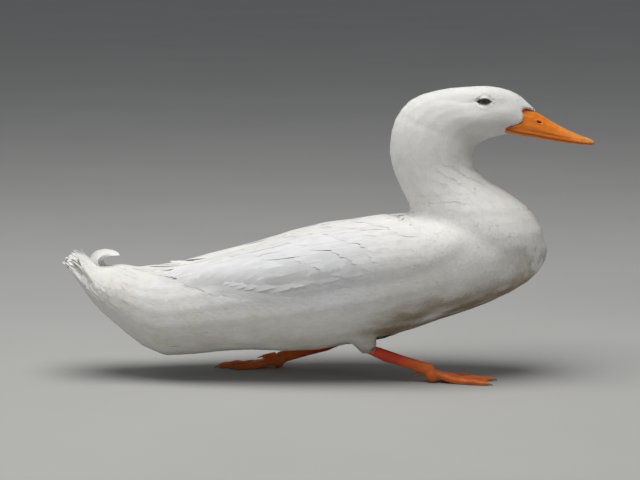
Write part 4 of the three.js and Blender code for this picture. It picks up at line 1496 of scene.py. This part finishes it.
def build_eye(side):
    """The eye's ball, with pupil and iris, in rings from its front to its back."""
    centre, radius, outward, forward, up = eye_frame(side)
    down = np.linspace(0, math.pi, EYE_RINGS + 1)[1:-1]
    turn = np.arange(EYE_STEPS) / EYE_STEPS * TURN
    bulge = radius + CORNEA * bell(np.degrees(down), 0, 34)
    ring = np.outer(np.cos(turn), forward) + np.outer(np.sin(turn), up)
    points = [centre + outward * (radius + CORNEA)]
    for angle, reach in zip(down, bulge):
        points.extend(centre + reach * (math.cos(angle) * outward + math.sin(angle) * ring))
    points.append(centre - outward * radius)
    corners, sizes = [], []
    last = len(points) - 1
    for k in range(EYE_STEPS):
        n = (k + 1) % EYE_STEPS
        faces = [[0, 1 + k, 1 + n]]
        for row in range(EYE_RINGS - 2):
            a, b = 1 + row * EYE_STEPS, 1 + (row + 1) * EYE_STEPS
            faces.append([a + k, b + k, b + n, a + n])
        a = 1 + (EYE_RINGS - 2) * EYE_STEPS
        faces.append([a + k, last, a + n])
        for face in faces:
            corners.extend(face if SIDES[side] == RIGHT else face[::-1])
            sizes.append(len(face))
    starts = np.r_[0, np.cumsum(sizes)[:-1]]
    ball = make_piece(
        f"eye_ball_{side}", np.array(points), np.array(corners), starts, eye_shader,
        (f"eye_{side}",),
    )
    degrees = np.r_[0, np.repeat(np.degrees(down), EYE_STEPS), 180]
    at, *tones = np.array(EYE_TONES).T
    set_tint(ball, np.stack([np.interp(degrees, at, tone) for tone in tones], 1))


for side in SIDES:
    build_eye(side)


# ---------- light, floor and camera


def floor_material():
    s = Shader("floor_paper")
    colour = s.shades(s.noise(3.0, 3.0), (0.3, (0.42, 0.42, 0.41)), (0.7, (0.44, 0.44, 0.43)))
    return s.finish(Base_Color=colour, Roughness=0.9, Specular_IOR_Level=0.1)


FLOOR = 30.0
floor_mesh = bpy.data.meshes.new("floor")
floor_mesh.from_pydata(
    [(-FLOOR, -FLOOR, 0), (FLOOR, -FLOOR, 0), (FLOOR, FLOOR, 0), (-FLOOR, FLOOR, 0)], [], [(0, 1, 2, 3)]
)
floor_mesh.materials.append(floor_material())
floor = bpy.data.objects.new("floor", floor_mesh)
scene.collection.objects.link(floor)

world = bpy.data.worlds.new("studio")
scene.world = world
world.use_nodes = True
sky = world.node_tree.nodes["Background"]
sky.inputs[0].default_value = (0.93, 0.96, 1.0, 1)
sky.inputs[1].default_value = 0.21


def lamp(name, place, aim, size, power, colour):
    data = bpy.data.lights.new(name, "AREA")
    data.shape = "DISK"
    data.size, data.energy, data.color = size, power, colour
    ob = bpy.data.objects.new(name, data)
    ob.location = place
    ob.rotation_euler = (Vector(aim) - Vector(place)).to_track_quat("-Z", "Y").to_euler()
    ob.visible_camera = False
    scene.collection.objects.link(ob)


TARGET = Vector((-0.010, 0, 0.151))
lamp("overhead", (-0.3, -0.4, 2.3), TARGET, 2.0, 53, (1.0, 0.99, 0.97))
lamp("front_fill", (1.3, -2.2, 1.0), TARGET, 1.6, 2.5, (1.0, 0.98, 0.95))

CAMERA_LENS, CAMERA_RISE, CAMERA_AWAY = 153.4, 8.5, 3.0  # in millimetres, degrees and metres
camera_data = bpy.data.cameras.new("camera")
camera_data.sensor_width = 36
camera_data.lens = CAMERA_LENS
camera = bpy.data.objects.new("camera", camera_data)
rise = math.radians(CAMERA_RISE)
camera.location = TARGET + Vector((0, -math.cos(rise), math.sin(rise))) * CAMERA_AWAY
camera.rotation_euler = (TARGET - camera.location).to_track_quat("-Z", "Y").to_euler()
scene.collection.objects.link(camera)
scene.camera = camera
scene.view_settings.view_transform = "Standard"
